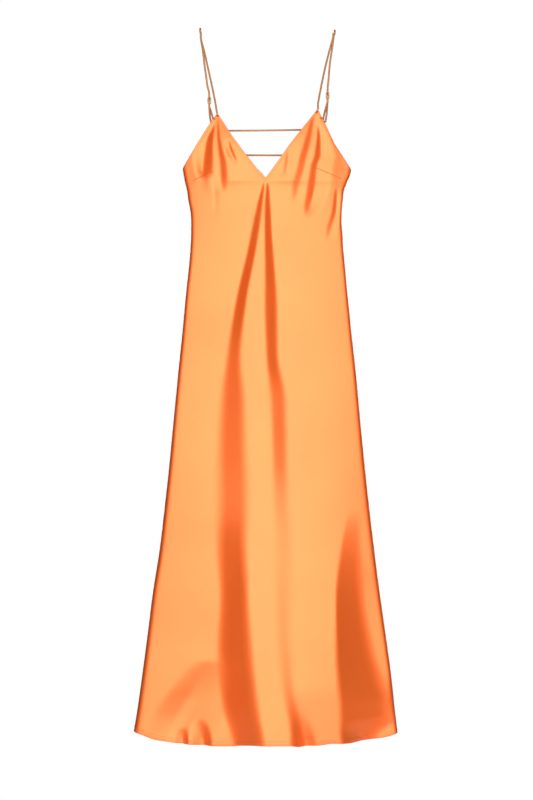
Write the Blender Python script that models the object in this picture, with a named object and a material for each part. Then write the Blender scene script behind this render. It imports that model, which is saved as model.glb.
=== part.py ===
"""A backless maxi dress in satin, hanging from its two shoulder straps.

Metres, +Z up. The origin is midway between the tops of the two straps. The
front of the dress faces -Y and +X is on the viewer's right. The front and the
back panel are hollow cloth walls that meet along two side seams at Y = 0, each
kept half a seam gap away from that plane.
"""

import bisect
import math

import bmesh
import bpy
from mathutils import Vector

# ---------------------------------------------------------------- sizes
WALL = 0.0012
SEAM_GAP = 0.0003
STRAP_RADIUS = 0.0019
STRAP_FLAT_HALF_WIDTH = 0.0020
STRAP_FLAT_HALF_THICKNESS = 0.00075
STRING_RADIUS = 0.0018
LOOP_RADIUS = 0.0012
RING_RADIUS = 0.0046
RING_WIRE_RADIUS = 0.0008
SLIDER_WIDTH = 0.0074
SLIDER_HEIGHT = 0.0126
SLIDER_BAR = 0.0012
HANG_RADIUS = 0.0055
THREAD_OFFSET = 0.00165
TWIST_OFFSET = 0.0027

# Tops of the two straps, where the dress is held.
STRAP_TOP_LEFT = (-0.1357, 0.0018)
STRAP_TOP_RIGHT = (0.1362, -0.0018)

# Centres of the rings and of the sliders.
RING_CENTRE_LEFT = (-0.1127, 0.0285, -0.1872)
RING_CENTRE_RIGHT = (0.1160, 0.0285, -0.1872)
SLIDER_HEIGHT_LEFT = -0.1425
SLIDER_HEIGHT_RIGHT = -0.1325

# Level below which every row of the panels runs right across.
FRONT_LEVEL = -0.352
BACK_LEVEL = -0.452
FRONT_TOP_ROWS = 12
FRONT_BODY_ROWS = 29
BACK_TOP_ROWS = 9
BACK_BODY_ROWS = 21

# Side seams. Columns: height, left edge, right edge.
SIDES = (
    (-0.280, -0.1711, 0.1702),
    (-0.286, -0.1709, 0.1697),
    (-0.292, -0.1701, 0.1692),
    (-0.300, -0.1687, 0.1669),
    (-0.308, -0.1671, 0.1634),
    (-0.316, -0.1653, 0.1601),
    (-0.324, -0.1633, 0.1570),
    (-0.332, -0.1618, 0.1547),
    (-0.342, -0.1605, 0.1536),
    (-0.353, -0.1589, 0.1524),
    (-0.367, -0.1559, 0.1511),
    (-0.390, -0.1541, 0.1507),
    (-0.415, -0.1541, 0.1523),
    (-0.447, -0.1557, 0.1543),
    (-0.488, -0.1592, 0.1581),
    (-0.528, -0.1637, 0.1618),
    (-0.609, -0.1713, 0.1699),
    (-0.690, -0.1796, 0.1790),
    (-0.811, -0.1914, 0.1903),
    (-0.892, -0.1992, 0.1984),
    (-0.973, -0.2082, 0.2073),
    (-1.053, -0.2177, 0.2168),
    (-1.134, -0.2306, 0.2269),
    (-1.215, -0.2409, 0.2382),
    (-1.296, -0.2515, 0.2490),
    (-1.377, -0.2629, 0.2578),
    (-1.417, -0.2694, 0.2624),
    (-1.449, -0.2739, 0.2658),
)

# Half depths. Columns: height, depth, share of it at the left and at the right seam.
FRONT_DEPTHS = (
    (-0.170, 0.0430, 0.50, 0.50),
    (-0.294, 0.0430, 0.54, 0.54),
    (-0.312, 0.0430, 0.55, 0.55),
    (-0.324, 0.0455, 0.56, 0.56),
    (-0.350, 0.0478, 0.58, 0.58),
    (-0.382, 0.0496, 0.60, 0.60),
    (-0.450, 0.0515, 0.62, 0.62),
    (-0.550, 0.0545, 0.64, 0.62),
    (-0.650, 0.0585, 0.65, 0.63),
    (-0.750, 0.0640, 0.66, 0.64),
    (-0.950, 0.0760, 0.66, 0.64),
    (-1.148, 0.0880, 0.62, 0.66),
    (-1.437, 0.1020, 0.56, 0.66),
)
BACK_DEPTHS = (
    (-0.170, 0.0310, 0.50, 0.50),
    (-0.229, 0.0350, 0.50, 0.50),
    (-0.294, 0.0380, 0.50, 0.50),
    (-0.450, 0.0440, 0.50, 0.50),
    (-0.550, 0.0520, 0.50, 0.50),
    (-0.750, 0.0680, 0.48, 0.48),
    (-0.950, 0.0800, 0.46, 0.46),
    (-1.148, 0.0900, 0.44, 0.44),
    (-1.437, 0.1000, 0.42, 0.42),
)
SIDE_SHARPNESS = 90.0

# How long a fold's slope takes to begin and to end, as shares of its width.
FLANK_ROUNDING = (0.35, 0.35)
SHELF_ROUNDING = (0.10, 0.40)
FRONT_TROUGH_ROUNDING = (0.35, 0.20)
BACK_TROUGH_ROUNDING = (0.45, 0.40)

# Top edge of the front, left to right. Columns: x, height, cells to the next row.
FRONT_EDGE = (
    (-0.1713, -0.2855, 6),
    (-0.1598, -0.2672, 2),
    (-0.1408, -0.2351, 3),
    (-0.1212, -0.2044, 3),
    (-0.1030, -0.1790, 1),
    (-0.0980, -0.1790, 4),
    (-0.0709, -0.2217, 4),
    (-0.0468, -0.2543, 4),
    (-0.0218, -0.2862, 3),
    (-0.0038, -0.3056, 3),
    (0.0172, -0.2778, 3),
    (0.0452, -0.2382, 3),
    (0.0774, -0.1972, 2),
    (0.0979, -0.1709, 1),
    (0.1029, -0.1709, 2),
    (0.1196, -0.2044, 4),
    (0.1348, -0.2363, 4),
    (0.1562, -0.2684, 6),
    (0.1702, -0.2890, 0),
)

# Top edge of the back, left to right. Columns: x, height, cells to the next row.
BACK_EDGE = (
    (-0.1713, -0.2855, 5),
    (-0.1545, -0.2690, 1),
    (-0.1420, -0.2480, 1),
    (-0.1300, -0.2250, 1),
    (-0.1167, -0.1990, 1),
    (-0.1087, -0.1990, 1),
    (-0.1060, -0.2400, 1),
    (-0.1005, -0.2850, 1),
    (-0.0920, -0.3250, 2),
    (-0.0790, -0.3600, 2),
    (-0.0600, -0.3920, 2),
    (-0.0380, -0.4120, 1),
    (-0.0180, -0.4210, 1),
    (0.0000, -0.4230, 2),
    (0.0180, -0.4210, 2),
    (0.0380, -0.4120, 1),
    (0.0600, -0.3920, 2),
    (0.0800, -0.3600, 2),
    (0.0940, -0.3250, 2),
    (0.1040, -0.2850, 1),
    (0.1090, -0.2400, 1),
    (0.1120, -0.1990, 1),
    (0.1200, -0.1990, 1),
    (0.1290, -0.2250, 1),
    (0.1385, -0.2480, 1),
    (0.1530, -0.2700, 5),
    (0.1702, -0.2890, 0),
)

# Hem of the front. Columns: x, height.
FRONT_HEM = (
    (-0.2703, -1.4174),
    (-0.2595, -1.4204),
    (-0.2476, -1.4242),
    (-0.2356, -1.4289),
    (-0.2237, -1.4327),
    (-0.2078, -1.4354),
    (-0.1739, -1.4399),
    (-0.1341, -1.4428),
    (-0.0943, -1.4432),
    (-0.0705, -1.4428),
    (-0.0545, -1.4407),
    (-0.0346, -1.4373),
    (-0.0147, -1.4348),
    (0.0450, -1.4343),
    (0.0649, -1.4383),
    (0.0848, -1.4372),
    (0.1086, -1.4354),
    (0.1266, -1.4330),
    (0.1484, -1.4336),
    (0.1683, -1.4353),
    (0.1882, -1.4345),
    (0.2241, -1.4318),
    (0.2420, -1.4287),
    (0.2626, -1.4220),
)

# Hem of the back. Columns: x, height.
BACK_HEM = (
    (-0.2703, -1.4174),
    (-0.1800, -1.4235),
    (-0.0500, -1.4270),
    (0.0900, -1.4270),
    (0.1900, -1.4240),
    (0.2626, -1.4220),
)

# Flanks of the long ridge in the middle of the front, and the shelf low on its right.
# Columns: height, x where the slope starts, x where it ends, share of the depth lost.
LEFT_FLANK = (
    (-0.311, -0.0092, -0.0052, 0.000),
    (-0.322, -0.0116, -0.0052, 0.060),
    (-0.350, -0.0196, -0.0076, 0.130),
    (-0.386, -0.0288, -0.0108, 0.180),
    (-0.450, -0.0418, -0.0208, 0.240),
    (-0.554, -0.0658, -0.0398, 0.300),
    (-0.659, -0.0847, -0.0487, 0.210),
    (-0.750, -0.1006, -0.0367, 0.300),
    (-0.850, -0.1085, -0.0306, 0.290),
    (-0.959, -0.1103, -0.0246, 0.260),
    (-1.044, -0.1082, -0.0325, 0.350),
    (-1.147, -0.1000, -0.0315, 0.430),
    (-1.246, -0.1059, -0.0226, 0.500),
    (-1.344, -0.0958, -0.0127, 0.520),
    (-1.434, -0.0739, 0.0012, 0.540),
)
RIGHT_FLANK = (
    (-0.311, -0.0032, 0.0012, 0.000),
    (-0.322, -0.0036, 0.0044, 0.070),
    (-0.364, -0.0068, 0.0078, 0.180),
    (-0.416, -0.0076, 0.0108, 0.240),
    (-0.486, -0.0078, 0.0172, 0.280),
    (-0.554, -0.0098, 0.0232, 0.300),
    (-0.659, -0.0068, 0.0251, 0.240),
    (-0.754, -0.0028, 0.0450, 0.200),
    (-0.864, 0.0012, 0.0469, 0.155),
    (-0.949, 0.0012, 0.0509, 0.100),
    (-1.048, 0.0051, 0.0587, 0.070),
    (-1.206, 0.0051, 0.0685, 0.065),
    (-1.314, 0.0150, 0.0803, 0.070),
    (-1.373, 0.0308, 0.0862, 0.110),
    (-1.434, 0.0387, 0.0921, 0.160),
)
SHELF = (
    (-0.971, 0.1611, 0.1898, 0.000),
    (-1.050, 0.1447, 0.1936, 0.170),
    (-1.149, 0.1344, 0.2014, 0.470),
    (-1.249, 0.1342, 0.2237, 0.660),
    (-1.321, 0.1371, 0.2537, 0.760),
    (-1.357, 0.1400, 0.2719, 0.800),
    (-1.387, 0.1410, 0.2719, 0.820),
    (-1.410, 0.1419, 0.2416, 0.820),
    (-1.438, 0.1479, 0.2125, 0.820),
)

# Troughs that sink into the front. Each row of a trough gives
# height, x of the bottom, width to the left, width to the right, depth.
FRONT_TROUGHS = (
    # Deep gather of the left cup, down to the tip of its dart.
    (
        (-0.189, -0.1063, 0.0060, 0.0040, 0.0000),
        (-0.199, -0.1087, 0.0100, 0.0056, 0.0010),
        (-0.209, -0.1127, 0.0160, 0.0080, 0.0032),
        (-0.225, -0.1200, 0.0241, 0.0132, 0.0064),
        (-0.239, -0.1232, 0.0281, 0.0152, 0.0078),
        (-0.251, -0.1248, 0.0301, 0.0169, 0.0088),
        (-0.263, -0.1268, 0.0301, 0.0201, 0.0096),
        (-0.277, -0.1292, 0.0301, 0.0237, 0.0102),
        (-0.291, -0.1308, 0.0261, 0.0257, 0.0098),
        (-0.301, -0.1304, 0.0161, 0.0281, 0.0046),
        (-0.313, -0.1293, 0.0161, 0.0301, 0.0020),
        (-0.333, -0.1285, 0.0201, 0.0321, 0.0006),
        (-0.357, -0.1286, 0.0241, 0.0321, 0.0000),
    ),
    # Second gather of the left cup.
    (
        (-0.185, -0.1019, 0.0080, 0.0044, 0.0000),
        (-0.201, -0.1011, 0.0120, 0.0048, 0.0012),
        (-0.219, -0.1006, 0.0180, 0.0056, 0.0018),
        (-0.237, -0.0994, 0.0240, 0.0076, 0.0025),
        (-0.256, -0.0974, 0.0280, 0.0112, 0.0035),
        (-0.280, -0.0949, 0.0300, 0.0156, 0.0046),
        (-0.304, -0.0937, 0.0300, 0.0164, 0.0044),
        (-0.322, -0.0921, 0.0280, 0.0128, 0.0022),
        (-0.334, -0.0910, 0.0260, 0.0120, 0.0000),
    ),
    # Gather of the right cup nearer the neck.
    (
        (-0.177, 0.0945, 0.0040, 0.0120, 0.0000),
        (-0.193, 0.0927, 0.0080, 0.0201, 0.0022),
        (-0.219, 0.0890, 0.0132, 0.0281, 0.0038),
        (-0.244, 0.0841, 0.0168, 0.0340, 0.0052),
        (-0.268, 0.0783, 0.0192, 0.0360, 0.0058),
        (-0.292, 0.0734, 0.0200, 0.0360, 0.0056),
        (-0.316, 0.0657, 0.0188, 0.0360, 0.0044),
        (-0.338, 0.0607, 0.0152, 0.0320, 0.0026),
        (-0.362, 0.0545, 0.0140, 0.0300, 0.0000),
    ),
    # Gather of the right cup over the tip of its dart.
    (
        (-0.197, 0.1035, 0.0060, 0.0120, 0.0000),
        (-0.223, 0.1067, 0.0088, 0.0201, 0.0042),
        (-0.243, 0.1071, 0.0120, 0.0281, 0.0062),
        (-0.259, 0.1070, 0.0152, 0.0341, 0.0072),
        (-0.280, 0.1006, 0.0164, 0.0361, 0.0078),
        (-0.316, 0.0966, 0.0192, 0.0361, 0.0078),
        (-0.343, 0.0914, 0.0180, 0.0321, 0.0060),
        (-0.368, 0.0850, 0.0140, 0.0281, 0.0030),
        (-0.384, 0.0822, 0.0120, 0.0241, 0.0000),
    ),
    # Slanting fold near the left of the hem.
    (
        (-1.266, -0.1158, 0.0317, 0.0991, 0.0000),
        (-1.294, -0.1277, 0.0436, 0.1111, 0.0044),
        (-1.320, -0.1397, 0.0555, 0.1190, 0.0095),
        (-1.350, -0.1556, 0.0635, 0.1231, 0.0135),
        (-1.386, -0.1756, 0.0656, 0.1192, 0.0145),
        (-1.416, -0.1917, 0.0616, 0.1074, 0.0115),
        (-1.439, -0.2017, 0.0557, 0.0955, 0.0080),
    ),
    # Soft hollow right of the middle, down to the hem.
    (
        (-1.068, 0.0329, 0.0238, 0.0238, 0.0000),
        (-1.147, 0.0388, 0.0297, 0.0297, 0.0008),
        (-1.245, 0.0447, 0.0297, 0.0297, 0.0015),
        (-1.314, 0.0506, 0.0297, 0.0277, 0.0020),
        (-1.363, 0.0585, 0.0277, 0.0277, 0.0024),
        (-1.383, 0.0644, 0.0237, 0.0237, 0.0036),
        (-1.411, 0.0723, 0.0257, 0.0217, 0.0084),
        (-1.434, 0.0763, 0.0296, 0.0237, 0.0140),
    ),
    # Curl of the hem, left.
    (
        (-1.392, -0.1375, 0.0119, 0.0159, 0.0000),
        (-1.408, -0.1335, 0.0238, 0.0178, 0.0046),
        (-1.424, -0.1295, 0.0317, 0.0178, 0.0095),
        (-1.435, -0.1275, 0.0356, 0.0178, 0.0130),
    ),
)

# Fullness of the cups. Columns: x, height, half width, half height, forward.
CUPS = (
    (-0.079, -0.260, 0.085, 0.105, 0.009),
    (0.076, -0.256, 0.085, 0.105, 0.009),
)

# Troughs that sink into the back, with the same columns as those of the front.
BACK_TROUGHS = (
    # Under the left corner of the open back.
    (
        (-0.380, -0.0760, 0.0120, 0.0120, 0.0000),
        (-0.480, -0.0820, 0.0190, 0.0220, 0.0060),
        (-0.700, -0.0900, 0.0320, 0.0320, 0.0110),
        (-1.000, -0.1020, 0.0420, 0.0420, 0.0180),
        (-1.440, -0.1200, 0.0520, 0.0500, 0.0260),
    ),
    # Under the lowest point of the open back.
    (
        (-0.440, 0.0060, 0.0130, 0.0130, 0.0000),
        (-0.560, 0.0080, 0.0220, 0.0220, 0.0070),
        (-0.800, 0.0140, 0.0340, 0.0300, 0.0110),
        (-1.100, 0.0220, 0.0440, 0.0420, 0.0200),
        (-1.440, 0.0300, 0.0500, 0.0500, 0.0280),
    ),
    # Under the right corner of the open back.
    (
        (-0.380, 0.0800, 0.0120, 0.0120, 0.0000),
        (-0.520, 0.0900, 0.0220, 0.0200, 0.0060),
        (-0.760, 0.1050, 0.0320, 0.0300, 0.0100),
        (-1.060, 0.1300, 0.0400, 0.0360, 0.0160),
        (-1.440, 0.1560, 0.0480, 0.0420, 0.0220),
    ),
)

# Paths of the straps. Columns: height, x of the front run, x of the back run.
LEFT_RUNS = (
    (-0.0200, -0.1345, -0.1345),
    (-0.0390, -0.1297, -0.1312),
    (-0.0530, -0.1260, -0.1295),
    (-0.0680, -0.1228, -0.1279),
    (-0.0960, -0.1164, -0.1240),
    (-0.1240, -0.1104, -0.1203),
    (-0.1520, -0.1048, -0.1170),
    (-0.1780, -0.1005, -0.1150),
)
RIGHT_RUNS = (
    (-0.0180, 0.1330, 0.1338),
    (-0.0340, 0.1285, 0.1318),
    (-0.0490, 0.1244, 0.1295),
    (-0.0640, 0.1206, 0.1273),
    (-0.0850, 0.1155, 0.1252),
    (-0.1080, 0.1106, 0.1236),
    (-0.1320, 0.1058, 0.1223),
    (-0.1550, 0.1016, 0.1203),
)

# Strings across the open back. Columns: height at the left end and at the right end,
# sag in the middle.
STRING_UPPER = (-0.2030, -0.2003, 0.0010)
STRING_LOWER = (-0.2516, -0.2516, 0.0013)

# Facets round and along the thin pieces.
STRAP_SIDES = 6
STRING_SIDES = 6
STRING_STEPS = 8
RING_STEPS = 14
RING_SIDES = 6
HAIRPIN_STEPS = 6
RUN_STEPS = 7
THREAD_STEPS = 9
TWIST_STEPS = 4
TURN_STEPS = 6
LOOP_STEPS = 6

SATIN = (0.80, 0.22, 0.045, 1.0)
SATIN_CORD = (0.76, 0.20, 0.045, 1.0)
METAL = (0.45, 0.27, 0.10, 1.0)


# ---------------------------------------------------------------- helpers
CURVES = {}


def clear_objects():
    for item in list(bpy.data.objects):
        bpy.data.objects.remove(item, do_unlink=True)


def curve_of(rows, column):
    """Places, values and slopes of a monotone curve through one column of a table."""
    key = (id(rows), column)
    if key in CURVES:
        return CURVES[key]
    ordered = rows if rows[-1][0] > rows[0][0] else rows[::-1]
    places = [row[0] for row in ordered]
    values = [row[column] for row in ordered]
    steps = []
    for index in range(len(ordered) - 1):
        span = places[index + 1] - places[index]
        steps.append((values[index + 1] - values[index]) / span)
    slopes = [steps[0]]
    for before, after in zip(steps, steps[1:]):
        if before * after <= 0.0:
            slopes.append(0.0)
        else:
            slopes.append(2.0 * before * after / (before + after))
    slopes.append(steps[-1])
    CURVES[key] = (places, values, slopes)
    return CURVES[key]


def along(rows, place, column):
    """Value of a column at a place along the table's first column."""
    places, values, slopes = curve_of(rows, column)
    if place <= places[0]:
        return values[0]
    if place >= places[-1]:
        return values[-1]
    index = bisect.bisect_right(places, place) - 1
    span = places[index + 1] - places[index]
    part = (place - places[index]) / span
    square = part * part
    cube = square * part
    rise = 3.0 * square - 2.0 * cube
    result = values[index] * (1.0 - rise) + values[index + 1] * rise
    result += span * slopes[index] * (cube - 2.0 * square + part)
    result += span * slopes[index + 1] * (cube - square)
    return result


def ease(part):
    part = min(1.0, max(0.0, part))
    return part * part * (3.0 - 2.0 * part)


def across(height, x):
    """Place of x between the side seams, from -1 to 1."""
    left = along(SIDES, height, 1)
    right = along(SIDES, height, 2)
    return (2.0 * x - left - right) / (right - left)


def between_sides(height, place):
    left = along(SIDES, height, 1)
    right = along(SIDES, height, 2)
    return 0.5 * (left + right) + 0.5 * place * (right - left)


def ramp(part, rounding):
    """Rise from 0 to 1, straight in the middle and rounded at each end."""
    part = min(1.0, max(0.0, part))
    soft_start, soft_end = rounding
    steep = 1.0 / (1.0 - 0.5 * (soft_start + soft_end))
    low = min(part, soft_start) ** 2 / (2.0 * soft_start)
    middle = min(max(part - soft_start, 0.0), 1.0 - soft_start - soft_end)
    high = 0.5 * soft_end - min(1.0 - part, soft_end) ** 2 / (2.0 * soft_end)
    return steep * (low + middle + high)


def slope_share(rows, height, x, rounding):
    """How far a slope has gone at one point, from 0 where it starts to 1 where it ends."""
    start = along(rows, height, 1)
    end = along(rows, height, 2)
    return ramp((x - start) / (end - start), rounding)


def sink(troughs, height, x, rounding):
    """Depth of all the troughs at one point."""
    total = 0.0
    for rows in troughs:
        if height > rows[0][0]:
            continue
        bottom = along(rows, height, 1)
        side = 2 if x < bottom else 3
        part = 1.0 - abs(x - bottom) / along(rows, height, side)
        total += along(rows, height, 4) * ramp(part, rounding)
    return total


def half_section(height, place, depths):
    """Side wall, from 0 at a seam to 1, and the half depth of the plain section."""
    side = along(depths, height, 2 if place < 0.0 else 3)
    wall = math.sqrt(max(0.0, 1.0 - abs(place) ** SIDE_SHARPNESS))
    crown = 1.0 - place * place
    return wall, along(depths, height, 1) * (side * wall + (1.0 - side) * crown)


def front_surface(height, place):
    """Point of the front panel's outer face."""
    x = between_sides(height, place)
    wall, depth = half_section(height, place, FRONT_DEPTHS)
    left = 1.0 - slope_share(LEFT_FLANK, height, x, FLANK_ROUNDING)
    depth *= 1.0 - along(LEFT_FLANK, height, 3) * left
    right = slope_share(RIGHT_FLANK, height, x, FLANK_ROUNDING)
    depth *= 1.0 - along(RIGHT_FLANK, height, 3) * right
    shelf = slope_share(SHELF, height, x, SHELF_ROUNDING)
    depth *= 1.0 - along(SHELF, height, 3) * shelf
    for middle_x, middle_height, half_width, half_height, forward in CUPS:
        off_x = abs(x - middle_x) / half_width
        off_height = abs(height - middle_height) / half_height
        if off_x < 1.0 and off_height < 1.0:
            swell = math.cos(0.5 * math.pi * off_x) * math.cos(0.5 * math.pi * off_height)
            depth += forward * swell * swell * wall
    depth -= sink(FRONT_TROUGHS, height, x, FRONT_TROUGH_ROUNDING)
    return Vector((x, -0.5 * SEAM_GAP - max(0.0, depth), height))


def back_surface(height, place):
    """Point of the back panel's outer face."""
    x = between_sides(height, place)
    depth = half_section(height, place, BACK_DEPTHS)[1]
    depth -= sink(BACK_TROUGHS, height, x, BACK_TROUGH_ROUNDING)
    return Vector((x, 0.5 * SEAM_GAP + max(0.0, depth), height))


def column_places(edge):
    """Columns of a panel: place between the seams and height of the top edge."""
    columns = []
    for (x, height, cells), (next_x, next_height, _) in zip(edge, edge[1:]):
        start = math.asin(max(-1.0, min(1.0, across(height, x))))
        end = math.asin(max(-1.0, min(1.0, across(next_height, next_x))))
        width = math.sin(end) - math.sin(start)
        for cell in range(cells):
            place = math.sin(start + cell / cells * (end - start))
            part = (place - math.sin(start)) / width
            columns.append((place, height + part * (next_height - height)))
    columns.append((1.0, edge[-1][1]))
    columns[0] = (-1.0, edge[0][1])
    return columns


def panel_grid(surface, edge, hem, level, top_rows, body_rows):
    """Outer face of a panel as rows of points, from the top edge to the hem."""
    columns = column_places(edge)
    grid = []
    for row in range(top_rows + body_rows + 1):
        line = []
        for place, top in columns:
            bottom = along(hem, between_sides(hem[0][1], place), 1)
            if row <= top_rows:
                height = top + (level - top) * row / top_rows
            else:
                height = level + (bottom - level) * (row - top_rows) / body_rows
            line.append(surface(height, place))
        grid.append(line)
    return grid


def grid_normal(grid, row, column, outward):
    """Direction out of the cloth at a point of the grid."""
    last_row = len(grid) - 1
    last_column = len(grid[0]) - 1
    if column == 0:
        return Vector((-1.0, 0.0, 0.0))
    if column == last_column:
        return Vector((1.0, 0.0, 0.0))
    along_row = grid[row][column + 1] - grid[row][column - 1]
    along_column = grid[min(row + 1, last_row)][column] - grid[max(row - 1, 0)][column]
    normal = along_row.cross(along_column).normalized()
    if normal.y * outward < 0.0:
        normal.negate()
    return normal


def add_object(name, mesh, colour, metallic, roughness):
    material = bpy.data.materials.new(name)
    material.use_nodes = True
    shader = material.node_tree.nodes["Principled BSDF"]
    shader.inputs["Base Color"].default_value = colour
    shader.inputs["Metallic"].default_value = metallic
    shader.inputs["Roughness"].default_value = roughness
    material.diffuse_color = colour
    mesh.materials.append(material)
    item = bpy.data.objects.new(name, mesh)
    bpy.context.scene.collection.objects.link(item)
    return item


def close_mesh(name, build):
    """Turn every face outward and store the closed body as a mesh."""
    bmesh.ops.recalc_face_normals(build, faces=build.faces)
    mesh = bpy.data.meshes.new(name)
    build.to_mesh(mesh)
    build.free()
    return mesh


def cloth_wall(name, grid, outward):
    """Closed wall of even thickness on the inside of a grid of points."""
    build = bmesh.new()
    rows = len(grid)
    columns = len(grid[0])
    outer = []
    inner = []
    for row in range(rows):
        outer_line = []
        inner_line = []
        for column in range(columns):
            point = grid[row][column]
            normal = grid_normal(grid, row, column, outward)
            outer_line.append(build.verts.new(point))
            inside = point - WALL * normal
            if inside.y * outward < 0.5 * SEAM_GAP:
                inside.y = 0.5 * SEAM_GAP * outward
            inner_line.append(build.verts.new(inside))
        outer.append(outer_line)
        inner.append(inner_line)
    for row in range(rows - 1):
        for column in range(columns - 1):
            for sheet in (outer, inner):
                build.faces.new((
                    sheet[row][column],
                    sheet[row][column + 1],
                    sheet[row + 1][column + 1],
                    sheet[row + 1][column],
                ))
    rim = [(0, column) for column in range(columns)]
    rim += [(row, columns - 1) for row in range(1, rows)]
    rim += [(rows - 1, column) for column in range(columns - 2, -1, -1)]
    rim += [(row, 0) for row in range(rows - 2, 0, -1)]
    for (row, column), (next_row, next_column) in zip(rim, rim[1:] + rim[:1]):
        build.faces.new((
            outer[row][column],
            outer[next_row][next_column],
            inner[next_row][next_column],
            inner[row][column],
        ))
    return add_object(name, close_mesh(name, build), SATIN, 0.0, 0.4)


def tube(name, stations, sides, colour):
    """Closed tube. A station is centre, width direction, half width, half thickness."""
    build = bmesh.new()
    rings = []
    for index, (centre, width_way, half_width, half_thickness) in enumerate(stations):
        before = stations[max(index - 1, 0)][0]
        after = stations[min(index + 1, len(stations) - 1)][0]
        way = (after - before).normalized()
        wide = (width_way - way * width_way.dot(way)).normalized()
        thick = way.cross(wide)
        ring = []
        for side in range(sides):
            angle = 2.0 * math.pi * (side + 0.5) / sides
            ring.append(build.verts.new(
                centre
                + wide * half_width * math.cos(angle)
                + thick * half_thickness * math.sin(angle)
            ))
        rings.append(ring)
    for ring, following in zip(rings, rings[1:]):
        for side in range(sides):
            nearby = (side + 1) % sides
            build.faces.new((ring[side], ring[nearby], following[nearby], following[side]))
    build.faces.new(rings[0])
    build.faces.new(rings[-1])
    return add_object(name, close_mesh(name, build), colour, 0.0, 0.45)


def round_station(centre, width_way, radius):
    return (centre, width_way, radius, radius)


def strap_stations(top, runs, ring_centre, slider_height, start):
    """Path of a strap: up from the cup, over the hang point, down to the ring, up again."""
    x_way = Vector((1.0, 0.0, 0.0))
    y_way = Vector((0.0, 1.0, 0.0))
    top_x, top_height = top
    ring_x, ring_y, ring_height = ring_centre
    crown = top_height - STRAP_RADIUS - HANG_RADIUS
    stations = []

    def back_depth(height):
        part = (crown - height) / (crown - ring_height)
        return HANG_RADIUS + part * (ring_y - HANG_RADIUS)

    # Front run, from the cup's point up to the hang point.
    stations.append(round_station(start, x_way, STRAP_RADIUS))
    stations.append(round_station(start + Vector((0.0, 0.0, 0.002)), x_way, STRAP_RADIUS))
    low = start.z + 0.008
    for step in range(RUN_STEPS):
        height = low + (crown - 0.004 - low) * step / (RUN_STEPS - 1)
        part = (height - start.z) / (crown - start.z)
        depth = start.y + part * (-HANG_RADIUS - start.y)
        x = along(runs, height, 1)
        stations.append(round_station(Vector((x, depth, height)), x_way, STRAP_RADIUS))

    # Round the hang point.
    for step in range(HAIRPIN_STEPS + 1):
        angle = math.pi * step / HAIRPIN_STEPS
        centre = Vector((
            top_x,
            -HANG_RADIUS * math.cos(angle),
            crown + HANG_RADIUS * math.sin(angle),
        ))
        stations.append(round_station(centre, x_way, STRAP_RADIUS))

    # Back run, down to the slider.
    upper_bar = 0.5 * (SLIDER_HEIGHT - SLIDER_BAR)
    slider_x = along(runs, slider_height, 2)
    slider_y = back_depth(slider_height)
    stop = slider_height + upper_bar + 0.008
    for step in range(1, RUN_STEPS + 1):
        height = crown + (stop - crown) * step / RUN_STEPS
        blend = ease(1.0 - (height - stop) / 0.02)
        x = along(runs, height, 2)
        x += blend * (slider_x - x)
        depth = back_depth(height) + blend * (slider_y + THREAD_OFFSET - back_depth(height))
        stations.append(round_station(Vector((x, depth, height)), x_way, STRAP_RADIUS))

    # Flat through the slider: behind the upper bar, in front of the other two.
    for step in range(THREAD_STEPS):
        part = step / (THREAD_STEPS - 1)
        height = slider_height + upper_bar * (1.2 - 2.4 * part)
        swing = min(1.0, max(0.0, (slider_height + upper_bar - height) / upper_bar))
        depth = slider_y + THREAD_OFFSET * math.cos(math.pi * swing)
        stations.append((
            Vector((slider_x, depth, height)),
            x_way,
            STRAP_FLAT_HALF_WIDTH,
            STRAP_FLAT_HALF_THICKNESS,
        ))

    # Down to the ring, turning so that the two runs end side by side.
    below = slider_height - upper_bar - 0.008
    turn_radius = RING_WIRE_RADIUS + SEAM_GAP + STRAP_RADIUS + 0.0001
    turn_height = ring_height + RING_RADIUS
    for step in range(TWIST_STEPS + 1):
        part = step / TWIST_STEPS
        angle = 0.5 * math.pi * part
        radius = TWIST_OFFSET + part * (turn_radius - TWIST_OFFSET)
        height = below + part * (turn_height + 0.001 - below)
        x = slider_x + part * (ring_x - slider_x) - radius * math.sin(angle)
        depth = slider_y + part * (ring_y - slider_y) - radius * math.cos(angle)
        width_way = x_way * math.cos(angle) - y_way * math.sin(angle)
        stations.append(round_station(Vector((x, depth, height)), width_way, STRAP_RADIUS))

    # Round the top of the ring.
    for step in range(TURN_STEPS + 1):
        angle = math.pi * step / TURN_STEPS
        centre = Vector((
            ring_x - turn_radius * math.cos(angle),
            ring_y,
            turn_height - turn_radius * math.sin(angle),
        ))
        stations.append(round_station(centre, -y_way, STRAP_RADIUS))

    # Up again, to the slider's middle bar.
    for step in range(TWIST_STEPS, -1, -1):
        part = step / TWIST_STEPS
        angle = 0.5 * math.pi * part
        radius = TWIST_OFFSET + part * (turn_radius - TWIST_OFFSET)
        height = below + part * (turn_height + 0.001 - below)
        x = slider_x + part * (ring_x - slider_x) + radius * math.sin(angle)
        depth = slider_y + part * (ring_y - slider_y) + radius * math.cos(angle)
        width_way = -x_way * math.cos(angle) - y_way * math.sin(angle)
        stations.append(round_station(Vector((x, depth, height)), width_way, STRAP_RADIUS))
    for height in (-1.15 * upper_bar, -0.6 * upper_bar, 0.05 * upper_bar):
        stations.append((
            Vector((slider_x, slider_y + THREAD_OFFSET, slider_height + height)),
            -x_way,
            STRAP_FLAT_HALF_WIDTH,
            STRAP_FLAT_HALF_THICKNESS,
        ))
    return stations, Vector((slider_x, slider_y, slider_height))


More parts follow.
